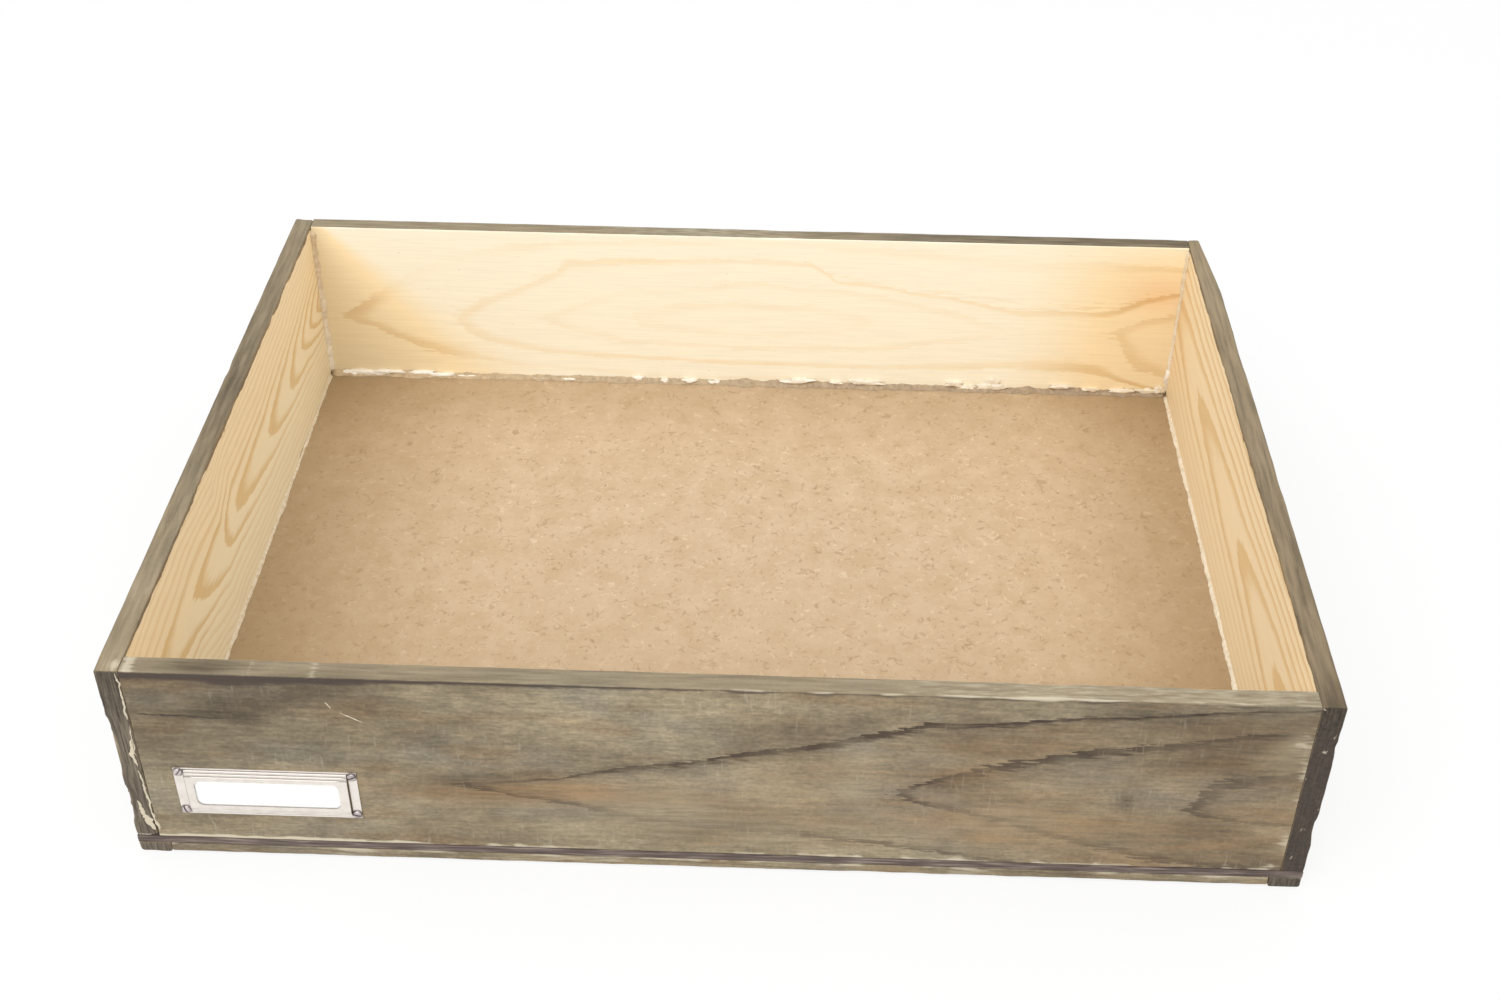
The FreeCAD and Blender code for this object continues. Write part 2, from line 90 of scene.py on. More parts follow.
def surface(name, grids, material, stands_for=(), *, marks, sharp=0.9):
    """A closed mesh from grids of points, rows along and columns around, with quads between neighbours.
    Points that coincide are merged, which closes ends and poles. Edges over an angle stay sharp."""
    mesh = bpy.data.meshes.new(name)
    quads, count = [], 0
    for grid in grids:
        rows, columns = grid.shape[:2]
        index = count + np.arange(rows * columns).reshape(rows, columns)
        index = np.hstack([index, index[:, :1]])
        corners = [index[:-1, :-1], index[:-1, 1:], index[1:, 1:], index[1:, :-1]]
        quads += np.stack(corners, axis=-1).reshape(-1, 4).tolist()
        count += rows * columns
    points = np.concatenate([grid.reshape(-1, 3) for grid in grids])
    mesh.from_pydata((points * MM).tolist(), [], quads)
    for mark, values in marks.items():
        vector = mark == "grain"
        layer = mesh.attributes.new(mark, "FLOAT_VECTOR" if vector else "FLOAT", "POINT")
        layer.data.foreach_set("vector" if vector else "value", values.astype(np.float32).ravel())
    shape = bmesh.new()
    shape.from_mesh(mesh)
    bmesh.ops.remove_doubles(shape, verts=shape.verts, dist=2e-6)
    bmesh.ops.dissolve_degenerate(shape, edges=shape.edges, dist=1e-7)
    bmesh.ops.recalc_face_normals(shape, faces=shape.faces)
    shape.to_mesh(mesh)
    shape.free()
    mesh.shade_smooth()
    mesh.set_sharp_from_angle(angle=sharp)
    mesh.materials.append(material)
    piece = bpy.data.objects.new(name, mesh)
    bpy.context.scene.collection.objects.link(piece)
    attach(piece, "tray")
    if stands_for:
        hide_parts(*stands_for)


# Finishes

def srgb(code):
    """A colour written as sRGB hex, in linear light."""
    parts = [int(code[place:place + 2], 16) / 255 for place in (1, 3, 5)]
    return [*[p / 12.92 if p <= 0.04045 else ((p + 0.055) / 1.055) ** 2.4 for p in parts], 1.0]


def feed(item, inputs):
    """Sets inputs of a node, in order or by number or name, each to a value, to a colour as hex or to the
    output that feeds it."""
    sockets = [socket for socket in item.inputs if socket.enabled]
    for key, value in inputs.items() if isinstance(inputs, dict) else enumerate(inputs):
        socket = sockets[key] if isinstance(key, int) else next(s for s in sockets if s.name == key)
        if isinstance(value, bpy.types.NodeSocket):
            item.id_data.links.new(value, socket)
        else:
            socket.default_value = srgb(value) if isinstance(value, str) else value


def add(tree, kind, inputs=(), out=0, stops=(), **settings):
    """Adds a node and gives back one of its outputs. Every mix is one of colours. A ramp's stops are places
    with a colour or a level."""
    item = tree.nodes.new("ShaderNode" + kind)
    if kind == "Mix":
        item.data_type = "RGBA"
    for key, value in settings.items():
        setattr(item, key, value)
    for number, (place, colour) in enumerate(stops):
        ramp = item.color_ramp.elements
        stop = ramp[number] if number < 2 else ramp.new(place)
        stop.position = place
        stop.color = srgb(colour) if isinstance(colour, str) else (colour, colour, colour, 1)
    feed(item, inputs)
    results = [socket for socket in item.outputs if socket.enabled]
    return results[out] if isinstance(out, int) else item.outputs[out]


def finish(name):
    """A new material, the function that adds a node to it, and its shader."""
    material = bpy.data.materials.new(name)
    material.use_nodes = True
    tree = material.node_tree
    return material, partial(add, tree), tree.nodes["Principled BSDF"]


def millimetres(node):
    """A piece's own coordinates, in millimetres."""
    return node("VectorMath", [node("TexCoord", out="Object"), 1 / MM], operation="SCALE")


PINE_MARKS = ("ring", "figure", "bare", "tone", "rim", "end", "shade", "warm", "grime", "pale")


def weathered_pine():
    """Planed pine under a worn grey-brown water stain outside, bare inside. The stain gives short strokes
    along the grain, grey bloom and brown patches. The bare wood gives cream early wood and tan late wood,
    sharp at each ring's outer side."""
    material, node, shader = finish("weathered_pine")
    grain = node("Attribute", out="Vector", attribute_name="grain")
    mark = {name: node("Attribute", out="Fac", attribute_name=name) for name in PINE_MARKS}

    # Noises, each with its size in millimetres along the grain, into the board and across the grain, its
    # layers and a shift that sets it apart. Real fibres and pores are too fine to show, so fibre, stroke,
    # fray and pores are drawn coarser, about a millimetre wide.
    noise = {}
    for name, sizes, layers, shift in (
            ("fibre", (6, 1.1, 1.1), 2, 0.0), ("streak", (26, 2.2, 2.2), 4, 7.3),
            ("cloud", (60, 24, 24), 4, 3.1), ("bloom", (70, 32, 32), 3, 11.7),
            ("brown", (50, 11, 11), 3, 13.9), ("stroke", (8, 0.9, 0.9), 2, 19.0),
            ("fray", (9, 1.2, 1.2), 3, 5.9), ("patches", (24, 9, 9), 2, 17.0),
            ("pores", (26, 0.8, 0.8), 3, 21.0), ("specks", (2.4, 1.5, 1.5), 1, 31.0),
            ("scuff", (1.3, 5, 9), 3, 41.0), ("wear", (40, 30, 30), 2, 43.0),
            ("ends", (3, 0.9, 14), 4, 47.0), ("grit", (1.8, 1.3, 1.3), 2, 53.0),
            ("mottle", (13, 8, 8), 3, 59.0)):
        place = node("VectorMath", [grain, [1 / size for size in sizes], (shift,) * 3],
                     operation="MULTIPLY_ADD")
        noise[name] = node("TexNoise", {"Scale": 1.0, "Detail": layers, "Vector": place})
    # What each noise does: between two of its values, a level goes from the third number to the fourth.
    level = {name: node("MapRange", [noise[source], *spread]) for name, source, *spread in (
        ("bloom", "bloom", 0.5, 0.66, 0.0, 0.6), ("brown", "brown", 0.52, 0.66, 0.0, 0.5),
        ("streaks", "streak", 0.3, 0.7, 0.89, 1.06), ("fibres", "fibre", 0.3, 0.7, 0.82, 1.11),
        ("grit", "grit", 0.3, 0.7, 0.84, 1.11), ("mottle", "mottle", 0.3, 0.7, 0.84, 1.1),
        ("warmth", "streak", 0.36, 0.6, 0.35, 1.0), ("soaked", "streak", 0.38, 0.62, 1.15, 0.85),
        ("strokes", "stroke", 0.38, 0.6, 0.05, 0.6), ("patchy", "patches", 0.35, 0.6, 0.5, 1.0),
        ("scuff", "scuff", 0.6, 0.76, 0.0, 0.36), ("worn", "wear", 0.42, 0.6, 0.15, 1.0),
        ("pores", "pores", 0.35, 0.62, 0.95, 1.0), ("specks", "specks", 0.8, 0.86, 0.0, 0.5),
        ("rough", "fibre", 0.3, 0.7, 0.6, 0.8))}
    frayed = node("Math", [noise["fray"], 0.5], operation="SUBTRACT")

    # the stain: clouds of tone, grey bloom and brown wood, then streaks, fibres, grit and mottling
    stain = node("ValToRGB", [noise["cloud"]],
                 stops=[(0.34, "#776954"), (0.5, "#8f8168"), (0.66, "#9f9176")])
    for name, colour in (("bloom", "#868072"), ("brown", "#8c7252")):
        stain = node("Mix", [level[name], stain, colour])
    for name in ("streaks", "fibres", "grit", "mottle"):
        stain = node("VectorMath", [stain, level[name]], operation="SCALE")
    warmth = node("Math", [level["warmth"], mark["warm"]], operation="MULTIPLY")
    stain = node("Mix", [warmth, stain, "#a1805a"])

    # the year lines: a dark core at the outer side of each ring and ragged strokes inside it
    ring = node("Math", [frayed, 0.28, mark["ring"]], operation="MULTIPLY_ADD")
    year = node("Math", [ring], operation="FRACT")
    inner = node("MapRange", [year, 0.66, 1.0])
    inner = node("Math", [inner, level["strokes"]], operation="MULTIPLY")
    core = node("MapRange", [year, 0.85, 0.94])
    line = node("Math", [core, inner], operation="MAXIMUM")
    strength = node("Math", [mark["figure"], level["patchy"]], operation="MULTIPLY")
    line = node("Math", [line, strength], operation="MULTIPLY")
    stain = node("Mix", [line, stain, "#4a3d31"])

    # light scuffs across the grain where the face is worn
    scuff = node("Math", [level["scuff"], level["worn"]], operation="MULTIPLY")
    stain = node("Mix", [scuff, stain, "#b9af9b"])

    # rims are rubbed lighter, ends are dark with upright pores, and shade darkens what has taken more stain
    rubbed = node("ValToRGB", [noise["streak"]],
                  stops=[(0.32, "#8c7f66"), (0.5, "#9e9075"), (0.68, "#ad9f84")])
    part = node("Math", [mark["rim"], 0.6], operation="MULTIPLY")
    stain = node("Mix", [part, stain, rubbed])
    end_grain = node("ValToRGB", [noise["ends"]],
                     stops=[(0.34, "#51483e"), (0.5, "#6a6052"), (0.66, "#837868")])
    stain = node("Mix", [mark["end"], stain, end_grain])
    soaked = node("Math", [level["soaked"], mark["shade"]], operation="MULTIPLY", use_clamp=True)
    stain = node("Mix", [soaked, stain, "#6f655c"], blend_type="MULTIPLY")

    # grime in the joints, then pale filler, scraped and worn wood and a painted highlight along the
    # front's upper arris, with frayed edges
    for name, colour, width in (("grime", "#453b34", 0.35), ("pale", "#c8bda6", 0.25)):
        edge = node("Math", [frayed, 1.5, mark[name]], operation="MULTIPLY_ADD")
        edge = node("MapRange", [edge, 0.5 - width, 0.5 + width], interpolation_type="SMOOTHSTEP")
        edge = node("Math", [edge, mark[name]], operation="MULTIPLY", use_clamp=True)
        stain = node("Mix", [edge, stain, colour])

    # bare pine
    early = node("ValToRGB", [mark["tone"]], stops=[(0.0, "#fffceb"), (0.5, "#ffecc3"), (1.0, "#ebdab5")])
    late = node("ValToRGB", [mark["tone"]], stops=[(0.0, "#fbe9c4"), (0.5, "#e5c58a"), (1.0, "#cda670")])
    band = node("ValToRGB", [year], stops=[
        (0.0, 0.0), (0.5, 0.04), (0.66, 0.55), (0.74, 0.9), (0.96, 1.0), (1.0, 0.1)])
    band = node("Math", [band, mark["figure"]], operation="MULTIPLY")
    bare = node("Mix", [band, early, late])
    bare = node("Mix", [mark["warm"], bare, "#fff0e4"], blend_type="MULTIPLY")
    bare = node("VectorMath", [bare, level["pores"]], operation="SCALE")
    bare = node("Mix", [level["specks"], bare, "#a08a6a"])
    inside = node("Math", [frayed, 0.7, mark["bare"]], operation="MULTIPLY_ADD")
    inside = node("MapRange", [inside, 0.4, 0.6], interpolation_type="SMOOTHSTEP")
    colour = node("Mix", [inside, stain, bare])

    relief = node("Math", [noise["fibre"], noise["fray"]])
    relief = node("Math", [line, -0.6, relief], operation="MULTIPLY_ADD")
    feed(shader, {"Base Color": colour, "Roughness": level["rough"], "Specular IOR Level": 0.3,
                  "Normal": node("Bump", {"Strength": 0.35, "Distance": 0.2 * MM, "Height": relief})})
    return material


def hardboard():
    """Pressed wood fibre, smooth on its upper face: a soft tan felt with faint threads some millimetres
    long. Its sawn edge has taken the stain."""
    material, node, shader = finish("hardboard")
    place = millimetres(node)
    edge, shade = [node("Attribute", out="Fac", attribute_name=name) for name in ("edge", "shade")]

    felt = node("TexNoise", {"Vector": place, "Scale": 1 / 14, "Detail": 5.0, "Roughness": 0.7})
    colour = node("ValToRGB", [felt], stops=[(0.3, "#c5aa87"), (0.5, "#cdb393"), (0.7, "#d5bc9d")])
    # threads: the narrow band where a noise passes its middle value, broken up by a second noise
    for size, shift, cut, tint, most in (
            (8.0, 9.0, 0.56, "#86643f", 0.34), (6.0, 15.0, 0.55, "#efdcbc", 0.36),
            (5.0, 23.0, 0.56, "#80613f", 0.32)):
        moved = node("VectorMath", [place, (shift * size,) * 3])
        curl = node("TexNoise", {"Vector": moved, "Scale": 1 / size, "Detail": 1.5, "Distortion": 0.6})
        off = node("Math", [curl, 0.5], operation="SUBTRACT")
        off = node("Math", [off], operation="ABSOLUTE")
        thread = node("MapRange", [off, 0.035, 0.01, 0.0, most])
        broken = node("TexNoise", {"Vector": moved, "Scale": 1 / (0.7 * size), "Detail": 2.0})
        gate = node("MapRange", [broken, cut, cut + 0.06])
        thread = node("Math", [thread, gate], operation="MULTIPLY")
        colour = node("Mix", [thread, colour, tint])
    # painted shade towards the walls, from the floor's shade mark
    colour = node("Mix", [shade, colour, "#967f5c"])
    layers = node("VectorMath", [place, (1 / 18, 1 / 18, 1 / 0.9)], operation="MULTIPLY")
    fuzz = node("TexNoise", {"Vector": layers, "Scale": 1.0, "Detail": 4.0})
    stained = node("ValToRGB", [fuzz], stops=[(0.34, "#4e423d"), (0.52, "#675a54"), (0.68, "#8b7f74")])
    colour = node("Mix", [edge, colour, stained])
    # the pressed fibres are finer than a tenth of a millimetre, and are drawn coarser so that they show
    fibres = node("TexNoise", {"Vector": place, "Scale": 1 / 0.9, "Detail": 3.0})
    feed(shader, {"Base Color": colour, "Roughness": 0.72, "Specular IOR Level": 0.3,
                  "Normal": node("Bump", {"Strength": 0.25, "Distance": 0.12 * MM, "Height": fibres})})
    return material


def dried_glue():
    """White wood glue, dried to a dull skin: chalky where it stands in lumps, grey-brown with dust
    between. It has nine flecks in 20 mm."""
    material, node, shader = finish("dried_glue")
    white = node("Attribute", out="Fac", attribute_name="white")
    fleck = node("TexNoise", {"Vector": millimetres(node), "Scale": 9 / 20, "Detail": 4.0})
    level = node("Math", [fleck, -0.5])
    level = node("Math", [level, 0.5, white], operation="MULTIPLY_ADD")
    colour = node("ValToRGB", [level], stops=[
        (0.0, "#9e8a72"), (0.3, "#c9b390"), (0.62, "#ece0c8"), (0.9, "#fbf6ee")])
    feed(shader, {"Base Color": colour, "Roughness": 0.6,
                  "Normal": node("Bump", {"Strength": 0.3, "Distance": 0.3 * MM, "Height": fleck})})
    return material


def plated_metal(name, dull, bright):
    """Nickel-plated steel: a bright skin dulled by handling, eleven smears in 50 mm, with painted shade
    where a mark says, in creases, slots and round screw heads.
    """
    material, node, shader = finish(name)
    painted_shade = node("Attribute", out="Fac", attribute_name="painted_shade")
    smear = node("TexNoise", {"Vector": millimetres(node), "Scale": 11 / 50, "Detail": 4.0})
    colour = node("ValToRGB", [smear], stops=[(0.35, dull), (0.6, bright)])
    # painted shade and painted dark reflection: the mark darkens the plating towards grey-brown
    colour = node("Mix", [painted_shade, colour, "#574f4b"])
    feed(shader, {"Base Color": colour, "Metallic": 1.0,
                  "Roughness": node("MapRange", [smear, 0.3, 0.7, 0.32, 0.42])})
    return material


def white_card():
    """Uncoated white card: matt, with the faint cloudiness of paper fibre, three clouds in 5 mm."""
    material, node, shader = finish("white_card")
    cloud = node("TexNoise", {"Vector": millimetres(node), "Scale": 3 / 5, "Detail": 4.0})
    colour = node("ValToRGB", [cloud], stops=[(0.35, "#f3f2ee"), (0.65, "#fbfaf8")])
    feed(shader, {"Base Color": colour, "Roughness": 0.85})
    return material


def nail_steel():
    """Drawn wire nails, dulled to a brown-grey by age, with nine specks of rust in 10 mm."""
    material, node, shader = finish("nail_steel")
    rust = node("TexNoise", {"Vector": millimetres(node), "Scale": 9 / 10, "Detail": 4.0})
    colour = node("ValToRGB", [rust], stops=[(0.35, "#3d322b"), (0.65, "#6b6058")])
    feed(shader, {"Base Color": colour, "Metallic": 0.7,
                  "Roughness": node("MapRange", {0: rust, 3: 0.65, 4: 0.4})})
    return material


PINE, HARDBOARD, GLUE = weathered_pine(), hardboard(), dried_glue()
SHEET = plated_metal("plated_sheet", "#e9e1d8", "#f4ede5")
SCREW = plated_metal("screw_steel", "#b0a6a6", "#d6cdcc")
CARD, NAIL = white_card(), nail_steel()


# Boards

CORNERS = np.array([[-1, -1], [1, -1], [1, 1], [-1, 1]])
# millimetres from the grain of one seed to the next, and through a board from one ring to the next
GRAIN_APART, RING_SLOPE = 37.0, 4.5


def plank(box, along, rounds, seed, end_round, step=2.0, ragged=0.5, sunk=0.15):
    """A worn board between two corners, with its grain along axis 0 or 1.

    A rectangle with four rounded corners is carried along the board. Noise makes each corner's radius
    wander, with a deeper chip here and there. At each end the rectangle draws in, first round a quarter
    circle and then flat to its own middle line, where its two sides meet. Last, noise sinks the surface a
    little along its normal. Gives the points and their normals, both by station and place around.
    """
    low, high = box
    across = 1 - along
    length = high[along] - low[along]
    middle, half = (low + high)[[across, 2]] / 2, (high - low)[[across, 2]] / 2

    # Places around: each corner's quarter circle, then the side after it, with a row close to both its ends.
    # Each has the corners before and after it, the way it faces and its share of the way between them.
    quarter = np.radians(np.linspace(0, 90, 5))
    around = []
    for corner in range(4):
        side, start = 2 * half[corner % 2], np.radians(180 + 90 * corner)
        between = np.linspace(0, 1, max(3, round(side / step)) + 1)[1:-1]
        around += [(corner, corner, start + bend, 0) for bend in quarter]
        around += [(corner, (corner + 1) % 4, start + np.pi / 2, share)
                   for share in (0.4 / side, *between, 1 - 0.4 / side)]
    before, after, turn, share = np.array(around).T
    before, after = before.astype(int), after.astype(int)
    facing = np.stack([np.cos(turn), np.sin(turn)], axis=-1)

    # Stations along: the flat end, its quarter circle and half of the length, then the same backwards. Each
    # has how far it draws in, its bend round the quarter circle and its share of the way to the middle.
    runs = np.linspace(0, 1, max(4, round(length / 2 / step)) + 1)[1:]
    stations = [(part, 0, 0) for part in (1.0, 0.75, 0.5, 0.25)] + [(0, part, 0) for part in quarter]
    stations += [(0, np.pi / 2, part) for part in (0.5 / length, *runs)]
    draw_in, bend, run = np.array(stations + stations[-2::-1]).T[..., None]
    from_start = (np.arange(len(run)) < len(run) / 2)[:, None]

    def wander(places, base, fine):
        """A radius from 0.45 to 1.55 of its base, and more where a wider noise rises into a chip."""
        chips = np.maximum(waver(places, fine * 2.6, seed + 5) - 0.6, 0) * 9 * ragged
        return base * (0.45 + 1.1 * waver(places, fine, seed)) + chips

    square = CORNERS[before] * (1 - share)[:, None] + CORNERS[after] * share[:, None]
    rim = np.insert(square * half, 0, 0, axis=1)
    ends = [np.minimum(wander(rim + end[along], end_round, 8.0), 0.8 * half.min()) for end in box]
    radius = np.where(from_start, *ends)
    inset = radius * (1 - np.sin(bend)) + (half.min() - radius) * draw_in
    offset = radius * (1 - np.cos(bend)) + (length / 2 - radius) * run
    position = np.where(from_start, low[along] + offset, high[along] - offset)

    spots = np.stack(np.broadcast_arrays(position[:, :1], *(CORNERS * half).T), axis=-1)
    rounding = wander(spots, np.array(rounds), 13.0)
    halves = half - inset[..., None]
    section = 0
    for corner, weight in ((before, 1 - share), (after, share)):
        bow = np.minimum(rounding[:, corner], halves.min(axis=-1))[..., None]
        section = section + weight[:, None] * (CORNERS[corner] * (halves - bow) + bow * facing)

    points, normals = np.empty((2, *inset.shape, 3))
    points[..., along], points[..., [across, 2]] = position, section + middle
    normals[..., along] = np.where(from_start, -1, 1) * np.cos(bend)
    normals[..., [across, 2]] = np.sin(bend)[..., None] * facing
    dents = sunk * (0.7 * waver(points, 40.0, seed + 11) + 0.3 * waver(points, 5.0, seed + 12))
    return points - normals * dents[..., None], normals


def rings_between_lines(along, up, heart, core, lines):
    """Year rings on a flat-sawn face from the lines that show on it. The heart line has a height and a ring
    number along the board. Each line lies at a distance above and below it. Between lines the ring number
    grows evenly with the distance from the heart, and past the last line by one in each 16 mm."""
    rise = up - np.interp(along, *heart)
    level = np.interp(along, *core)
    reach, ring, inner, least = np.abs(rise), level.copy(), 0.0, 0.0
    for number, places, above, below in lines:
        edge = np.where(rise > 0, np.interp(along, places, above), np.interp(along, places, below))
        part = np.clip((reach - inner) / np.maximum(edge - inner, 0.5), 0, 1)
        ring = ring + part * np.maximum(0, number - np.maximum(level, least))
        inner, least = np.maximum(inner, edge), number
    return ring + np.maximum(0, reach - inner) / 16


def rings_round_heart(along, up, places, depth, heart, width):
    """Year rings round a heart that runs under the face: the root of its depth squared plus the height
    over it squared, both in ring widths."""
    return np.hypot(np.interp(along, places, depth), (up - np.interp(along, places, heart)) / width)


# three tongues that open to the right, as they lie on the front
front_rings = partial(
    rings_between_lines, heart=([-240, -116, 74, 190, 240], [46, 47, 51, 45, 46]),
    core=([-240, -116, -90, -65, -40, 20, 74, 84, 100, 140, 190, 240],
          [3.9, 3.0, 2.74, 2.56, 2.5, 2.3, 2.0, 1.78, 1.62, 1.4, 1.0, 0.3]),
    lines=[(1, [190, 196, 198, 208, 222, 240], [0, 7, 15, 20, 22, 25], [0, 3, 4, 6, 8, 9]),
           (2, [73, 90, 100, 120, 140, 159, 187, 210, 240],
            [0, 10, 15, 23, 29, 34, 40, 44, 46], [0, 9, 11, 16, 22, 27, 32, 35, 37]),
           (3, [-116, -90, -65, -48, -31, -7, 18, 34, 62, 86, 114, 153, 192, 240],
            [0, 2, 5, 10, 14, 17, 23, 26, 34, 41, 44, 50, 56, 59],
            [0, 6, 11, 17, 21, 24, 26, 28, 32, 35, 38, 41, 44, 47])])
# long nested ovals on the inside of the back, with lines that spread again at its right end
back_rings = partial(
    rings_between_lines, heart=([-240, -163, -69, 40, 150, 240], [48, 50, 52, 53, 51, 49]),
    core=([-240, -229, -163, -115, -69, 0, 72, 146, 180, 206, 240],
          [4.1, 4.0, 3.0, 2.0, 1.0, 0.3, 1.0, 2.0, 2.3, 2.0, 1.1]),
    lines=[(1, [-69, -60, -40, 0, 40, 60, 72], [0, 5, 9, 11, 9, 6, 0], [0, 5, 9, 10, 9, 6, 0]),
           (2, [-115, -100, -70, 0, 80, 120, 146, 206, 212, 222, 240],
            [0, 8, 17, 24, 17, 8, 0, 0, 6, 11, 15], [0, 8, 15, 19, 17, 9, 0, 0, 12, 21, 26]),
           (3, [-163, -155, -142, -122, -110, -101, -26, 36, 51, 87, 124, 155, 198, 214, 229, 240],
            [0, 6, 12, 21, 29, 37, 39, 38, 26, 22, 18, 12, 13, 19, 25, 29],
            [0, 13, 19, 23, 24, 25, 28, 29, 29, 29, 28, 26, 26, 30, 34, 36]),
           (4, [-229, -213, -203, -190, -165, -134, -60, 60, 150, 240],
            [0, 11, 18, 30, 40, 46, 50, 50, 44, 44], [0, 6, 12, 19, 26, 33, 38, 39, 38, 42])])
# close nested tongues on the inside of the left side, their tips towards the front
left_rings = partial(
    rings_round_heart, places=[-184, -94, -42, -20, 45, 93, 128, 149, 184],
    depth=[14.4, 13, 12, 11, 10, 9, 8, 7, 5], heart=[64, 65, 56, 61, 57, 57, 59, 60, 60], width=3.2)
# long narrow tongues on the inside of the right side, their tips towards the back
right_rings = partial(
    rings_round_heart, places=[-184, -112, -22, 103, 184], depth=[6.3, 7, 8, 9, 9.8],
    heart=[64, 63.5, 61, 60.5, 66], width=4.2)

# the inner faces of the box, and the front's outer face
X0, X1 = node_box("left_side_board")[1][0], node_box("right_side_board")[0][0]
Y0, Y1 = node_box("front_board")[1][1], node_box("back_board")[0][1]
Z0 = node_box("bottom_panel")[1][2]
FRONT_FACE = node_box("front_board")[0][1]


def box_side(seed, name, along, inward, rounds, rings, shown, end_round, ragged, wavy, own_marks):
    """One board of the box with the marks that its finish reads: its own grain coordinates, its year
    rings, and how far each point is bare, rubbed, end grain, shaded, filled or grimy. The rings are as
    drawn on the outer face where shown is 0 and on the inner one where it is 1, and slope in between."""
    box = node_box(name)
    points, normals = plank(box, along, rounds, seed, end_round, ragged=ragged)
    across = 1 - along
    run, up = points[..., along], points[..., 2]
    outer = box[0][across] if inward > 0 else box[1][across]
    depth = (points[..., across] - outer) * inward
    wobble = np.stack([run / 9, depth / 3, up / 3], axis=-1)
    field = rings(run + 3 * wavy * (waver(wobble, 5.0, seed + 21) - 0.5),
                  up + wavy * (waver(wobble, 4.0, seed + 22) - 0.5))
    marks = {mark: np.zeros_like(run) for mark in PINE_MARKS} | {
        "grain": np.stack([run, depth, up], axis=-1) + GRAIN_APART * seed,
        "ring": field + (depth - shown * (box[1] - box[0])[across]) / RING_SLOPE,
        "bare": ease(normals[..., across] * inward, 0.35, 0.8) * (np.abs(run) < (X1, Y1)[along]),
        "rim": ease(normals[..., 2], 0.5, 0.9),
        "end": ease(np.abs(normals[..., along]), 0.55, 0.85),
    }
    own_marks(marks, points, normals, box)
    surface(name + "_worn", [points], PINE, [name], marks=marks)


def front_marks(marks, points, normals, box):
    """What shows on the front: warm wood inside the tongues, darker stain at the upper left, a dark line
    under the upper arris, which is rubbed pale and carries a painted highlight, rubbed patches, a light
    lower arris and a scraped right end."""
    x, z, ring = points[..., 0], points[..., 2], marks["ring"]
    face, top = ease(-normals[..., 1], 0.5, 0.9), marks["rim"]
    from_rim, from_foot = box[1][2] - z, z - box[0][2]
    ragged = waver(points, (14, 5, 5), 61)
    rough = waver(points, (6, 5, 9), 62)

    def spot(place, rise, length, height):
        return bell(x, place, length) * bell(z, rise, height)

    outside = (np.interp(ring, [1, 2, 3], [0.65, 0.95, 1.1]) * (1 - ease(ring, 3.0, 3.12))
               * (1 - 0.35 * ease(46 - z, 0, 10)) * (0.65 + 0.35 * ease(x, -105, -30)))
    marks["figure"] = 0.45 + face * (outside - 0.45)
    marks["tone"] += 0.35
    marks["warm"] = face * (0.8 * spot(-78, 43, 55, 6) + 0.22 * (1 - ease(ring, 2.4, 3.0))
                            + 0.5 * spot(128, 33, 40, 9))
    rubbed = [0.6 * spot(0, 26, 100, 14), spot(-18, 33, 36, 12), 0.8 * spot(122, 35, 22, 8),
              0.75 * spot(58, 53, 8, 11), spot(234, 82, 7, 14)]
    marks["rim"] = np.maximum(top, face * np.max(rubbed, axis=0))

    over_tongue = np.interp(x, [-124, -90, -65, -48, -31, 18], [49, 52, 55, 58.7, 62.3, 69])
    over_tongue = bell(z, over_tongue, 4) * ease(x, -135, -105) * (1 - ease(x, -30, 20))
    marks["shade"] = face * (0.35 * ease(-x, 20, 220) * ease(z, 42, 75) + 0.3 * spot(-200, 84, 13, 5)
                             + 0.12 * ease(x, 60, 180) + 0.2 * ease(x, 60, 160) * ease(z, 55, 75)
                             + 0.34 * over_tongue + 0.22 * spot(-95, 43, 36, 6)
                             + 0.4 * spot(170, 49, 3, 6) + 0.4 * spot(115, 34, 4, 2))
    marks["shade"] += top * (0.5 * spot(-207, 106, 14, 9) + 0.12 * (1 - ease(x, 0, 90)))
    deep = np.interp(x, [-240, -200, -120, -50, 240], [3.0, 4.6, 2.2, 0.9, 0.5]) + 2.4 * (ragged - 0.5)
    marks["grime"] = face * (0.95 - 0.2 * ease(x, -60, 60)) * (1 - ease(from_rim, deep, deep + 1.6))

    # the upper arris: worn pale wood with a painted highlight along it
    arris_wear_and_highlight = ease(-normals[..., 1], 0.1, 0.4) * ease(normals[..., 2], 0.1, 0.4)
    arris_wear_and_highlight *= 0.55 * ease(ragged, 0.3, 0.7) * (0.4 + 0.6 * ease(x, -60, 0) * (1 - ease(x, 130, 200)))
    foot = ease(2.3 - from_foot, 0, 1.3) * (0.9 * ease(-x, 100, 150) + 0.6 * ease(ragged, 0.4, 0.6))
    foot += 0.4 * ease(7 - from_foot, 0, 5) * ease(rough, 0.45, 0.7)
    scraped = ease(x + 14 * (rough - 0.5), 231, 243) * (0.15 + 0.45 * ease(ragged, 0.35, 0.65))
    worn = 0.3 * spot(-18, 33, 36, 12) + 0.28 * spot(236, 84, 5, 13)
    nicks = (0.55 * spot(-187, 106, 1.5, 9) + 0.55 * spot(-162, 106, 2.5, 9) + 0.9 * spot(-237, 106, 3, 9)
             + 0.42 * ease(x, 50, 90))
    marks["pale"] = arris_wear_and_highlight + face * (foot + scraped + worn) + top * nicks


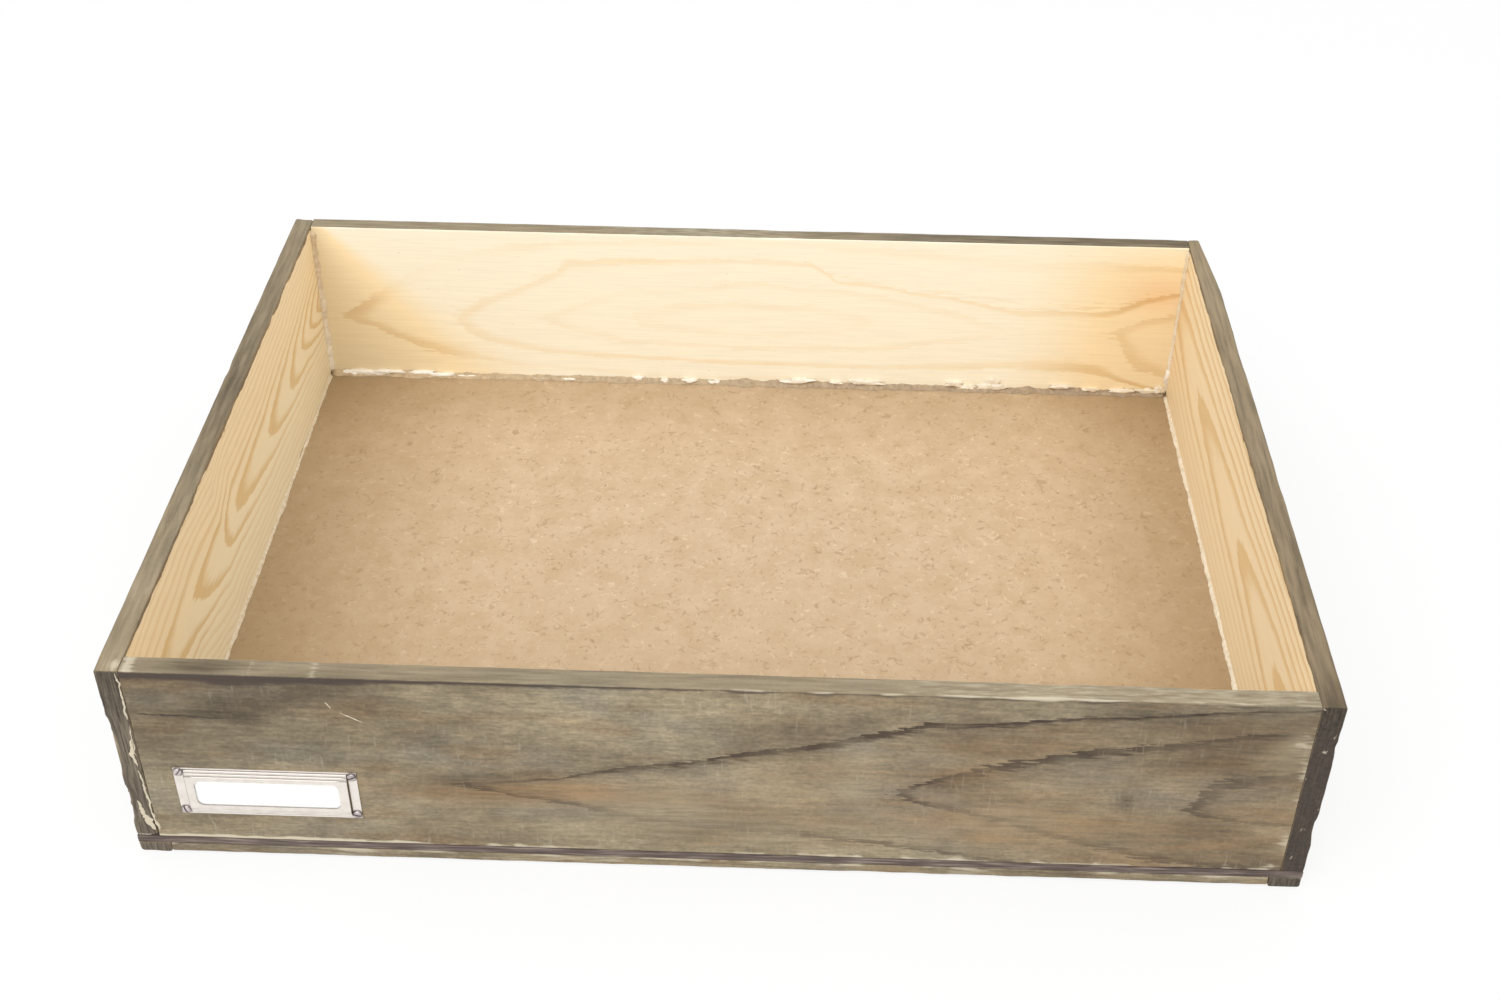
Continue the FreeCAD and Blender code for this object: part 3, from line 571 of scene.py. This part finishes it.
def left_marks(marks, points, normals, box):
    """Strong figure along the heart inside, faint towards the rim and the floor, and an olive-grey rim
    whose stain runs a little way down inside. The outer corner of its front end is chipped."""
    x, y, z = np.moveaxis(points, -1, 0)
    end = ease(-normals[..., 1], 0.5, 0.9)
    marks["bare"] *= ease(box[1][2] - z + 3.4 * (waver(points, 7.0, 71) - 0.5), 0.5, 3.8)
    marks["tone"] = 0.29 + 0.12 * ease(z, 30, 90)
    marks["warm"] = 0.25 * ease(z, 40, 90)
    marks["figure"] = 1.1 * (1 - 0.6 * ease(np.abs(z - 59), 10, 26))
    marks["shade"] = (np.interp(y, [-150, -90, 10, 140], [0.02, 0.18, 0.5, 0.18]) * marks["rim"]
                      + end * (0.18 + 0.3 * ease(z, 66, 90)))
    flecks = bell(x, -242, 3) * (bell(y, -180, 4) + 0.5 * bell(y, -134, 4))
    marks["pale"] = 0.9 * (end * ease(1.8 - (z - box[0][2]), 0, 1.2) + marks["rim"] * flecks)
    chips = ease(waver(points, (30, 30, 7), 72), 0.45, 0.7)
    points[..., 0] += 1.3 * chips * ease(-x, 243, 249) * ease(-y, 180.9, 183)


def right_marks(marks, points, normals, box):
    """The front end of the right side, almost black with stain and flecked, its dark rim and closer lines
    under that. The outer corner is chipped in front and worn away at the back."""
    x, y, z = np.moveaxis(points, -1, 0)
    end = ease(-normals[..., 1], 0.5, 0.9)
    marks["bare"] *= ease(box[1][2] - z + 4 * (waver(points, 9.0, 83) - 0.5), 0.5, 3.6)
    marks["tone"] += 0.36
    marks["warm"] = 0.35 + 0.35 * marks["rim"]
    marks["figure"] = 0.9 * (1 - 0.6 * ease(50 - z, 0, 20))
    marks["grime"] = end * (0.62 + 0.2 * waver(points, 9.0, 82) - 0.3 * ease(z, 80, 106))
    marks["shade"] = 0.8 * end + marks["rim"] * np.interp(
        y, [-182, -160, -90, 10, 140], [0.65, 0.36, 0.36, 0.22, 0.02])
    marks["pale"] = 0.75 * end * ease(waver(points, 3.0, 85), 0.66, 0.74)
    chips = ease(waver(points, (30, 30, 8), 84), 0.5, 0.75)
    worn = 3.5 * np.clip((y - 130) / 54, 0, 1) * ease(z, 86, 98)
    points[..., 0] -= ease(x, 244, 250) * (worn + chips * ease(-y, 180.9, 183))


def back_marks(marks, points, normals, box):
    """The pale inside of the back, with narrow late wood and stronger colour at its right end. At its
    left end a painted shadow of the left side darkens it, further in the lower it is."""
    x, z, ring = points[..., 0], points[..., 2], marks["ring"]
    drop = box[1][2] - z
    # painted shadow cast by the left side: it reaches further from the corner the lower it is
    painted_wall_shadow = 1 - ease(x - X0, 0.1 * drop, 10 + 1.35 * drop)
    right = ease(x, 140, 232) * (1 - 0.5 * ease(z, 80, 104))
    broken = ease(waver(points, (60, 9, 16), 75), 0.3, 0.65)
    faint = 1 - 0.8 * ease(-x, 110, 160) * ease(z, 58, 72)
    strong = 0.85 * bell(ring, 2.92, 0.2) + 0.45 * ease(-x, 70, 160) * bell(ring, 3.92, 0.2)
    marks["figure"] = (0.12 + 0.2 * broken + 0.4 * strong + 0.2 * right + 0.1 * painted_wall_shadow) * faint
    marks["figure"] *= 1 - ease(ring, 4.02, 4.2)
    marks["figure"] += ease(normals[..., 1], 0.5, 0.9) * (0.8 - marks["figure"])
    marks["ring"] = np.floor(ring) + (ring % 1) ** 2.2
    marks["tone"] = 0.08 + 0.92 * painted_wall_shadow + 0.62 * right
    marks["warm"] = 0.15 * right + 0.8 * bell(x, 226, 16) * bell(z, 76, 12)
    marks["shade"] = marks["rim"] * 0.45 * ease(x, 20, 130)
    marks["pale"] = 0.5 * marks["rim"] * bell(x, -20, 80)


for seed, board in enumerate((
        ("front_board", 0, 1, [0.7, 0.6, 0.7, 1.1], front_rings, 0, 0.4, 0.5, 2.5, front_marks),
        ("back_board", 0, -1, [0.6, 0.7, 1.1, 0.7], back_rings, 1, 0.4, 0.5, 5.0, back_marks),
        ("left_side_board", 1, 1, [0.8, 0.5, 0.7, 1.0], left_rings, 1, 1.0, 1.2, 5.0, left_marks),
        ("right_side_board", 1, -1, [0.5, 0.8, 1.0, 0.7], right_rings, 1, 1.0, 0.7, 3.0, right_marks)), 1):
    box_side(seed, *board)


def base_piece(seed, name, along, dark):
    """A strip of the base ring: a small worn plank, stained all over, with plain straight rings. Dark says
    how much more stain its ends have taken."""
    box = node_box(name)
    points, normals = plank(box, along, [1.3, 1.3, 0.5, 0.5], seed, end_round=0.8, sunk=0.3)
    across = 1 - along
    run, wide, up = points[..., along], points[..., across], points[..., 2]
    ragged = waver(points, (12, 12, 3), seed + 31)
    to_end = np.abs(normals[..., along])
    marks = {mark: np.zeros_like(run) for mark in PINE_MARKS} | {
        "grain": np.stack([run, wide, up], axis=-1) + GRAIN_APART * seed,
        "ring": np.hypot(up + 14, wide - box[0][across] + 30) / 3.2 + run / 160,
        "end": ease(to_end, 0.55, 0.85),
        "pale": (0.05 + 0.42 * ease(ragged, 0.4, 0.7) + 0.25 * ease(up, box[1][2] - 1.6, box[1][2] - 0.6)
                 - 0.3 * ease(to_end, 0.5, 0.8)),
        "warm": 0.6 * ease(waver(points, (40, 40, 9), seed + 33), 0.55, 0.75),
        "figure": np.full_like(run, 0.5),
        "shade": dark * ease(to_end, 0.5, 0.8),
    }
    surface(name + "_worn", [points], PINE, [name], marks=marks)


for seed, strip in enumerate((("left_runner", 1, 0.1), ("right_runner", 1, 0.4),
                              ("front_base_strip", 0, 0.0), ("back_base_strip", 0, 0.0)), 40):
    base_piece(seed, *strip)


def floor_panel():
    """The hardboard bottom: a thin wide plank with a fuzzy sawn edge, stained outside. Towards the left,
    right, front and back wall it darkens with painted shade, over a depth and by an amount of its own."""
    box = node_box("bottom_panel")
    points, normals = plank(box, 0, [0.5] * 4, 50, step=6.0, end_round=0.5, ragged=0.25, sunk=0.2)
    x, y = points[..., 0], points[..., 1]
    near_wall = np.minimum(X1 - np.abs(x), Y1 - np.abs(y))
    reach = np.stack([x - X0, X1 - x, y - Y0, Y1 - y])
    depth, amount = np.array([[130, 90, 260, 70], [0.52, 0.5, 0.25, 0.26]])[..., None, None]
    # painted shade: darker near the walls and darkest in the corners
    shade = (amount * ease(depth - reach, 0, depth)).sum(axis=0).clip(0, 0.9)
    edge = np.maximum(1 - ease(np.abs(normals[..., 2]), 0.5, 0.9), near_wall < -6)
    surface("bottom_panel_worn", [points], HARDBOARD, ["bottom_panel"],
            marks={"edge": edge, "shade": shade})


floor_panel()


# Glue and filler

def glue_lump(centre, half, seed):
    """A dried drop: a ball with three half sizes, its radius broken up by noise."""
    lift = np.linspace(-np.pi / 2, np.pi / 2, 11)[:, None]
    turn = np.linspace(0, 2 * np.pi, 18, endpoint=False)
    ball = np.stack([np.cos(lift) * np.cos(turn), np.cos(lift) * np.sin(turn), np.sin(lift) + 0 * turn],
                    axis=-1)
    rough = 0.2 + 1.5 * waver(ball + centre, 0.55, seed, 2)
    return centre + ball * rough[..., None] * half


def glue_bead(name, start, end, sides, seed, reach, white, lumps=()):
    """A ragged bead in an inner corner. A hollow quarter round is carried along the line, between the
    directions of the corner's two sides, with a reach along each. Noise makes each reach wander. How white
    it is runs from one end to the other. White drops lie on it, each at its place along and up with its
    half length and half height."""
    start, end, sides = np.array(start, float), np.array(end, float), np.array(sides, float)
    length = np.linalg.norm(end - start)
    run = np.linspace(0, 1, int(length / 0.6) + 1)
    line = start + (end - start) * run[:, None]
    turn = np.linspace(0, np.pi / 2, 9)
    grit = waver(line[:, None] + 4.0 * np.stack([np.cos(turn), np.sin(turn), turn], axis=-1), 2.6, seed + 2)
    chalk = np.interp(run, (0, 1), white)[:, None] * (0.75 + 0.5 * grit)
    swell = (0.35 + 0.8 * waver(line, 9.0, seed)) * np.minimum(1, np.minimum(run, 1 - run) * length / 2.0)
    skin = line[:, None]
    for side, bow in enumerate((np.cos(turn) ** 1.6, np.sin(turn) ** 1.6)):
        wide = 0.55 + 0.5 * waver(line, 5.0, seed + 7 + side) + 0.4 * waver(line, 1.6, seed + 9 + side)
        skin = skin + (reach[side] * swell * wide)[:, None, None] * bow[:, None] * sides[side]
    grid = np.concatenate([skin, (line - 0.8 * sides.sum(axis=0))[:, None]], axis=1)
    tips = [np.repeat(row.mean(axis=1, keepdims=True), grid.shape[1], axis=1)
            for row in (grid[:1], grid[-1:])]
    grids = [np.concatenate([tips[0], grid, tips[1]])]
    shown = [np.pad(chalk, ((1, 1), (0, 1)), mode="edge").ravel()]
    ahead = (end - start) / length
    for number, (along, half, up, tall) in enumerate(lumps):
        drop = glue_lump(start + ahead * along + sides[1] * up + sides[0] * 0.8,
                         np.abs(ahead * half + sides[0] * 1.5 + sides[1] * tall), seed + 10 + number)
        grids.append(drop)
        shown.append(np.full(drop[..., 0].size, 0.64 + np.interp(along / length, (0, 1), white)))
    surface(name + "_ragged", grids, GLUE, [name], marks={"white": np.concatenate(shown)},
            sharp=1.4)


# the ways in which a bead's two sides run, and where the beads in the corners end
LEFT, RIGHT, BEHIND, AHEAD, UP = (-1, 0, 0), (1, 0, 0), (0, 1, 0), (0, -1, 0), (0, 0, 1)
TOP = Z0 + 94
glue_bead("back_floor_glue", (X0, Y1, Z0), (X1, Y1, Z0), (AHEAD, UP), 101, (4.0, 3.4), (0.24, 0.0), [
    (12, 6, 1.0, 1.4), (22, 13, 1.6, 1.8), (33, 9, 2.5, 1.7), (53, 8, 2.6, 1.4), (64, 9, 1.6, 1.1),
    (80, 6, 1.0, 0.8), (121, 5, 1.0, 0.6), (138, 6, 1.0, 0.6), (178, 3.5, 2.2, 2.2), (193, 2.5, 1.5, 1.2),
    (207, 4.5, 1.8, 1.4), (221, 3, 1.2, 0.9), (270, 9, 3.4, 1.8), (291, 4, 3.0, 1.0), (308, 10, 3.8, 1.6),
    (359, 5, 4.4, 1.8), (366, 5, 2.0, 1.6), (381, 8, 2.6, 2.6), (381, 4, 5.4, 3.6), (420, 7, 4.2, 1.3),
    (437, 6, 2.6, 1.2), (455, 7, 2.4, 1.5), (468, 6, 2.6, 1.7), (476, 3.5, 3.6, 2.6)])
glue_bead("right_floor_glue", (X1, Y0 + 2, Z0), (X1, Y1 - 2, Z0), (LEFT, UP), 111, (2.0, 2.0), (0.62, 0.62))
glue_bead("left_floor_glue", (X0, Y0 + 2, Z0), (X0, Y1 - 2, Z0), (RIGHT, UP), 121, (1.8, 1.6), (0.5, 0.5))
glue_bead("front_floor_glue", (X0, Y0, Z0), (X1, Y0, Z0), (BEHIND, UP), 131, (3.0, 2.5), (0.4, 0.4))
for corner, x, y, *bead in (
        ("back_left", X0, Y1, (RIGHT, AHEAD), 141, (3.0, 2.4), (0.7, 0.35)),
        ("back_right", X1, Y1, (LEFT, AHEAD), 151, (1.8, 1.8), (0.7, 0.5), [(12, 5, 0.6, 1.6)]),
        ("front_left", X0, Y0, (RIGHT, BEHIND), 161, (2.0, 2.0), (0.5, 0.5)),
        ("front_right", X1, Y0, (LEFT, BEHIND), 171, (2.0, 2.0), (0.5, 0.5))):
    glue_bead(corner + "_corner_glue", (x, y, Z0 + 1), (x, y, TOP), *bead)


def slivers(paths, seed, thick, ragged):
    """Thin lenses on the front face. Each is an ellipse carried along a line of places, heights and widths,
    with noise in its width and its course. It closes to a point at both ends."""
    grids = []
    turn = np.linspace(0, 2 * np.pi, 12, endpoint=False)
    for number, path in enumerate(paths):
        stops = np.array(path, float)
        gone = np.concatenate([[0], np.cumsum(np.hypot(*np.diff(stops[:, :2], axis=0).T))])
        run = np.linspace(0, gone[-1], int(gone[-1] / 0.5) + 3)
        x, z, wide = [np.interp(run, gone, stops[:, column]) for column in range(3)]
        ahead = np.stack([np.gradient(x), np.gradient(z)])
        ahead /= np.hypot(*ahead)
        spots = np.stack([run, run * 0 + 40 * number, run * 0], axis=-1)
        course = ragged * (waver(spots, 3.0, seed) - 0.5) + 0.3 * wide * (waver(spots, 1.3, seed + 2) - 0.5)
        ends = np.sqrt(np.clip(np.minimum(run, run[-1] - run) / 3.0, 0, 1))
        half = ends * wide * (0.1 + 0.9 * waver(spots, 1.8, seed + 1))
        off = course[:, None] + half[:, None] * np.cos(turn)
        grids.append(np.stack([x[:, None] - ahead[1][:, None] * off,
                               FRONT_FACE + 0.1 + (thick * ends)[:, None] * np.sin(turn),
                               z[:, None] + ahead[0][:, None] * off], axis=-1))
    return grids


def front_mends():
    """Filler rubbed into the left joint of the front, wider near its foot, with a pale scratch and a dark
    crack."""
    filler = slivers([
        [(-240.7, 105, 0.9), (-240.3, 93, 0.6), (-240.9, 79, 0.9)],
        [(-241.6, 68, 0.8), (-242.6, 60, 1.8), (-241.8, 52, 0.7)],
        [(-240.9, 76, 0.4), (-241.2, 58, 0.5)],
        [(-241.8, 50, 0.7), (-241.1, 38, 0.8), (-240.6, 25, 0.8), (-239.2, 14, 1.2)],
        [(-245.6, 32, 0.8), (-244.6, 25, 2.2), (-242.8, 18, 2.8), (-240.6, 14, 1.4)]], 201, 0.3, 1.4)
    scratch = slivers([
        [(-158.3, 92.7, 0.7), (-155.9, 89, 0.7)], [(-153, 87, 0.5), (-143.7, 81.6, 0.5)]], 211, 0.15, 0.3)
    crack = slivers([[(-236.5, 82.8, 0.7), (-218.6, 82.4, 0.6), (-200.3, 81.4, 0.5)]], 231, 0.15, 0.8)
    points = [np.concatenate([grid.reshape(-1, 3) for grid in grids]) for grids in (filler + scratch, crack)]
    dark = np.repeat([0.0, 1.2], [len(part) for part in points])
    marks = {mark: np.zeros_like(dark) for mark in PINE_MARKS} | {
        "grime": dark, "pale": 1.2 - dark, "grain": np.concatenate(points)}
    surface("front_mends", filler + scratch + crack, PINE, marks=marks, sharp=1.4)


front_mends()


# Metal and card

LABEL_LOW, LABEL_HIGH = node_box("label_frame")
LABEL_SIZE = (LABEL_HIGH - LABEL_LOW)[[0, 2]]
STAND = FRONT_FACE - LABEL_LOW[1]
# the sheet's thickness, an ear's width, the plate's border and the radius of a screw's head
PLATE, EAR, LIP, HEAD = 0.6, 4.1, 1.0, 1.9
# where the ribs rise from the border, and the window's corners and their radius
STEPS = (1.0, 2.4, 3.8)
WINDOW, WINDOW_ROUND = np.array([[8.0, 6.25], [69.0, 20.75]]), 3.0


def rounded_loop(low, high, radius, per_side=44, per_corner=7):
    """Points round a rectangle with rounded corners: an arc and then a straight side, four times."""
    quarter = np.radians(np.linspace(0, 90, per_corner))
    arcs = []
    for corner, place in enumerate(CORNERS > 0):
        middle = np.where(place, np.array(high) - radius, np.array(low) + radius)
        turn = np.pi + np.pi / 2 * corner + quarter
        arcs.append(middle + radius * np.stack([np.cos(turn), np.sin(turn)], axis=-1))
    part = np.linspace(0, 1, per_side)[1:-1, None]
    sides = [arcs[corner][-1] + part * (arcs[(corner + 1) % 4][0] - arcs[corner][-1]) for corner in range(4)]
    return np.concatenate([points for pair in zip(arcs, sides) for points in pair])


def sheet_ring(inner, outer, height, count):
    """Sheet metal between two loops: from the inner loop out over the front, then back behind it. The
    height of the front over the board comes from a function of the place in the label. Gives points by
    place around and the place itself."""
    part = np.linspace(0, 1, count)[:, None]
    flat = inner[:, None] * (1 - part) + outer[:, None] * part
    front = height(flat)
    skin = np.concatenate([flat, flat[:, ::-1]], axis=1)
    lift = np.concatenate([front, front[:, ::-1] - PLATE], axis=1)
    points = np.stack([LABEL_LOW[0] + skin[..., 0], FRONT_FACE - lift, LABEL_LOW[2] + skin[..., 1]], axis=-1)
    return np.concatenate([points, points[:1]]), np.concatenate([skin, skin[:1]])


def label_holder():
    """The pressed holder: a flat plate with two ears, and a panel that rises from its upper and lower
    borders in three steps. The panel comes down to the plate at the left and is open at the right, where
    the card slides out. Painted shade lies in the creases and round the screws, stronger on the upper
    ribs as a painted dark reflection, and over the whole back of the sheet."""
    wide, tall = LABEL_SIZE
    right = wide - EAR
    rise = (STAND - PLATE) / len(STEPS)

    def from_border(flat):
        return np.minimum(flat[..., 1], tall - flat[..., 1])

    def pressed(flat):
        steps = sum(ease(from_border(flat), step, step + 0.45) for step in STEPS)
        return PLATE + rise * steps * ease(flat[..., 0], EAR, EAR + 0.6)

    foot = rounded_loop((EAR - 0.2, LIP - 0.2), (right, tall - LIP + 0.2), 0.2)
    panel, place = sheet_ring(rounded_loop(*WINDOW, WINDOW_ROUND), foot, pressed, 40)
    opening = rounded_loop((EAR, LIP), (right + 0.5, tall - LIP), 0.2)
    plate, seat = sheet_ring(opening, rounded_loop((0, 0), LABEL_SIZE, 0.7),
                             lambda flat: np.full(flat.shape[:2], PLATE), 8)

    # painted shade at the foot of each step and where the panel rises at its left, stronger on the upper
    # ribs as a painted dark reflection
    painted_crease_shade = sum(bell(from_border(place), step + 0.1, 0.26) for step in STEPS)
    painted_crease_shade = (np.where(place[..., 1] > tall / 2, 0.85, 0.4) * painted_crease_shade
               + 0.3 * bell(place[..., 0], EAR + 0.1, 0.3))
    # the back of the sheet, towards the board, is painted dark as shade
    painted_crease_shade[:, painted_crease_shade.shape[1] // 2:] = 0.8
    low, high = [(corner - LABEL_LOW)[[0, 2]] for corner in node_box("label_screws")]
    from_head = np.minimum(np.abs(seat - low - HEAD), np.abs(seat - high + HEAD))
    # a painted shadow ring on the plate round each screw head
    painted_screw_shade = 0.85 * bell(np.hypot(from_head[..., 0], from_head[..., 1]), HEAD + 0.25, 0.35)
    surface("label_frame_pressed", [panel, plate], SHEET, ["label_frame"],
            marks={"painted_shade": np.concatenate([painted_crease_shade.ravel(), painted_screw_shade.ravel()])}, sharp=1.2)


def screw_heads():
    """Four round slotted heads. Chords of a disc lie side by side across the slot. Each is lifted to a low
    dome, and the ones between the slot's walls are sunk."""
    height, slot, slot_floor = 1.1, 0.28, 0.45
    outward = np.geomspace(1.2 * slot, HEAD, 9)
    part = np.concatenate([-outward[::-1], [-slot, slot], outward])
    chord = np.sqrt(np.maximum(0, HEAD ** 2 - part ** 2))[:, None] * np.linspace(-1, 1, 17)
    across = np.broadcast_to(part[:, None], chord.shape)
    dome = height * np.sqrt(1 - 0.85 * (across ** 2 + chord ** 2) / HEAD ** 2)
    sunk = np.abs(across) < 1.05 * slot
    lift = np.where(sunk, np.minimum(dome, slot_floor), dome)
    # painted shade in the slot and round the rim of each head
    painted_screw_shade = 0.7 * sunk + 0.6 * (np.hypot(across, chord) > 0.97 * HEAD)
    painted_screw_shade = np.concatenate([painted_screw_shade, np.zeros_like(painted_screw_shade)], axis=1).ravel()

    low, high = node_box("label_screws")
    places = [(x, z) for z in (low[2] + HEAD, high[2] - HEAD) for x in (low[0] + HEAD, high[0] - HEAD)]
    seat = FRONT_FACE - PLATE
    grids = []
    for (x, z), turn in zip(places, np.radians([20, 75, -35, 110])):
        front = np.stack([x + across * np.cos(turn) - chord * np.sin(turn), seat - lift,
                          z + across * np.sin(turn) + chord * np.cos(turn)], axis=-1)
        behind = front.copy()
        behind[..., 1] = seat + 0.05
        grids.append(np.concatenate([front, behind[:, ::-1]], axis=1))
    surface("label_screws_slotted", grids, SCREW, ["label_screws"],
            marks={"painted_shade": np.tile(painted_screw_shade, len(grids))})


def paint(name, material):
    """Gives a CAD node its finish."""
    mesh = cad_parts[name].data
    mesh.materials.clear()
    mesh.materials.append(material)


label_holder()
screw_heads()
paint("label_card", CARD)
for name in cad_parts:
    if name.endswith("_nails"):
        paint(name, NAIL)


# Studio

def looked_at(node):
    """1 where the camera looks, also by way of mirrors and glass, and 0 for light that falls on things."""
    camera, mirror, glass = [
        node("LightPath", out=ray) for ray in ("Is Camera Ray", "Is Glossy Ray", "Is Transmission Ray")]
    sent_on = node("Math", [mirror, glass], operation="MAXIMUM")
    return node("Math", [camera, sent_on], operation="MAXIMUM")


def set_up(name, data, axes, place):
    """Puts a lamp or a camera at a place, with its right, up and backward axes."""
    turn = np.eye(4)
    turn[:3, :3], turn[:3, 3] = np.stack(axes, axis=1), place
    thing = bpy.data.objects.new(name, data)
    thing.matrix_world = Matrix(turn.tolist())
    bpy.context.scene.collection.objects.link(thing)
    return thing


def studio():
    """A white floor and an even white surround, with one large soft lamp in front, above and to the left.
    The camera, mirrors and glass see plain white, and the floor keeps a soft shadow."""
    mesh = bpy.data.meshes.new("studio_floor")
    reach = 30.0
    mesh.from_pydata([(reach * x, reach * y, 0) for x, y in CORNERS], [], [(0, 1, 2, 3)])
    floor = bpy.data.objects.new("studio_floor", mesh)
    bpy.context.scene.collection.objects.link(floor)
    material, node, shader = finish("white_paper_sweep")
    feed(shader, {"Base Color": "#f6f6f6", "Roughness": 0.9})
    share = node("Math", [looked_at(node), 0.8], operation="MULTIPLY")
    glow = node("Emission", {"Color": (1, 1, 1, 1), "Strength": 1.0})
    mixed = node("MixShader", [share, shader.outputs[0], glow])
    feed(material.node_tree.nodes["Material Output"], {"Surface": mixed})
    mesh.materials.append(material)

    world = bpy.data.worlds.new("white_surround")
    world.use_nodes = True
    bpy.context.scene.world = world
    node = partial(add, world.node_tree)
    level = node("MapRange", {0: looked_at(node), 3: 0.88, 4: 1.0})
    feed(world.node_tree.nodes["Background"], {"Color": (1, 1, 1, 1), "Strength": level})

    lamp = bpy.data.lights.new("softbox", "AREA")
    lamp.shape, lamp.size, lamp.size_y, lamp.energy = "RECTANGLE", 2.0, 1.4, 29.0
    place, aim = np.array([-0.4, -1.5, 1.9]), np.array([0.0, 0.05, 0.05])
    look = (aim - place) / np.linalg.norm(aim - place)
    side = np.cross(look, UP) / np.linalg.norm(np.cross(look, UP))
    set_up("softbox", lamp, [side, np.cross(side, look), -look], place)


def photo_camera():
    """The camera at the photograph's place, with its axes turned by a yaw, a pitch and a roll."""
    yaw, pitch, roll = np.radians([-1.6113, 37.5851, 0.5997])
    forwards = np.array([np.sin(yaw) * np.cos(pitch), np.cos(yaw) * np.cos(pitch), -np.sin(pitch)])
    right = np.array([np.cos(yaw), -np.sin(yaw), 0.0])
    up = np.cross(right, forwards)
    axes = [right * np.cos(roll) + up * np.sin(roll), up * np.cos(roll) - right * np.sin(roll), -forwards]
    lens = bpy.data.cameras.new("photo_camera")
    lens.sensor_fit, lens.sensor_width, lens.lens, lens.clip_start = "HORIZONTAL", 36.0, 46.127, 0.01
    bpy.context.scene.camera = set_up("photo_camera", lens, axes, [0.0285321, -0.7426514, 0.631658])


studio()
photo_camera()
bpy.context.scene.view_settings.view_transform = "Standard"
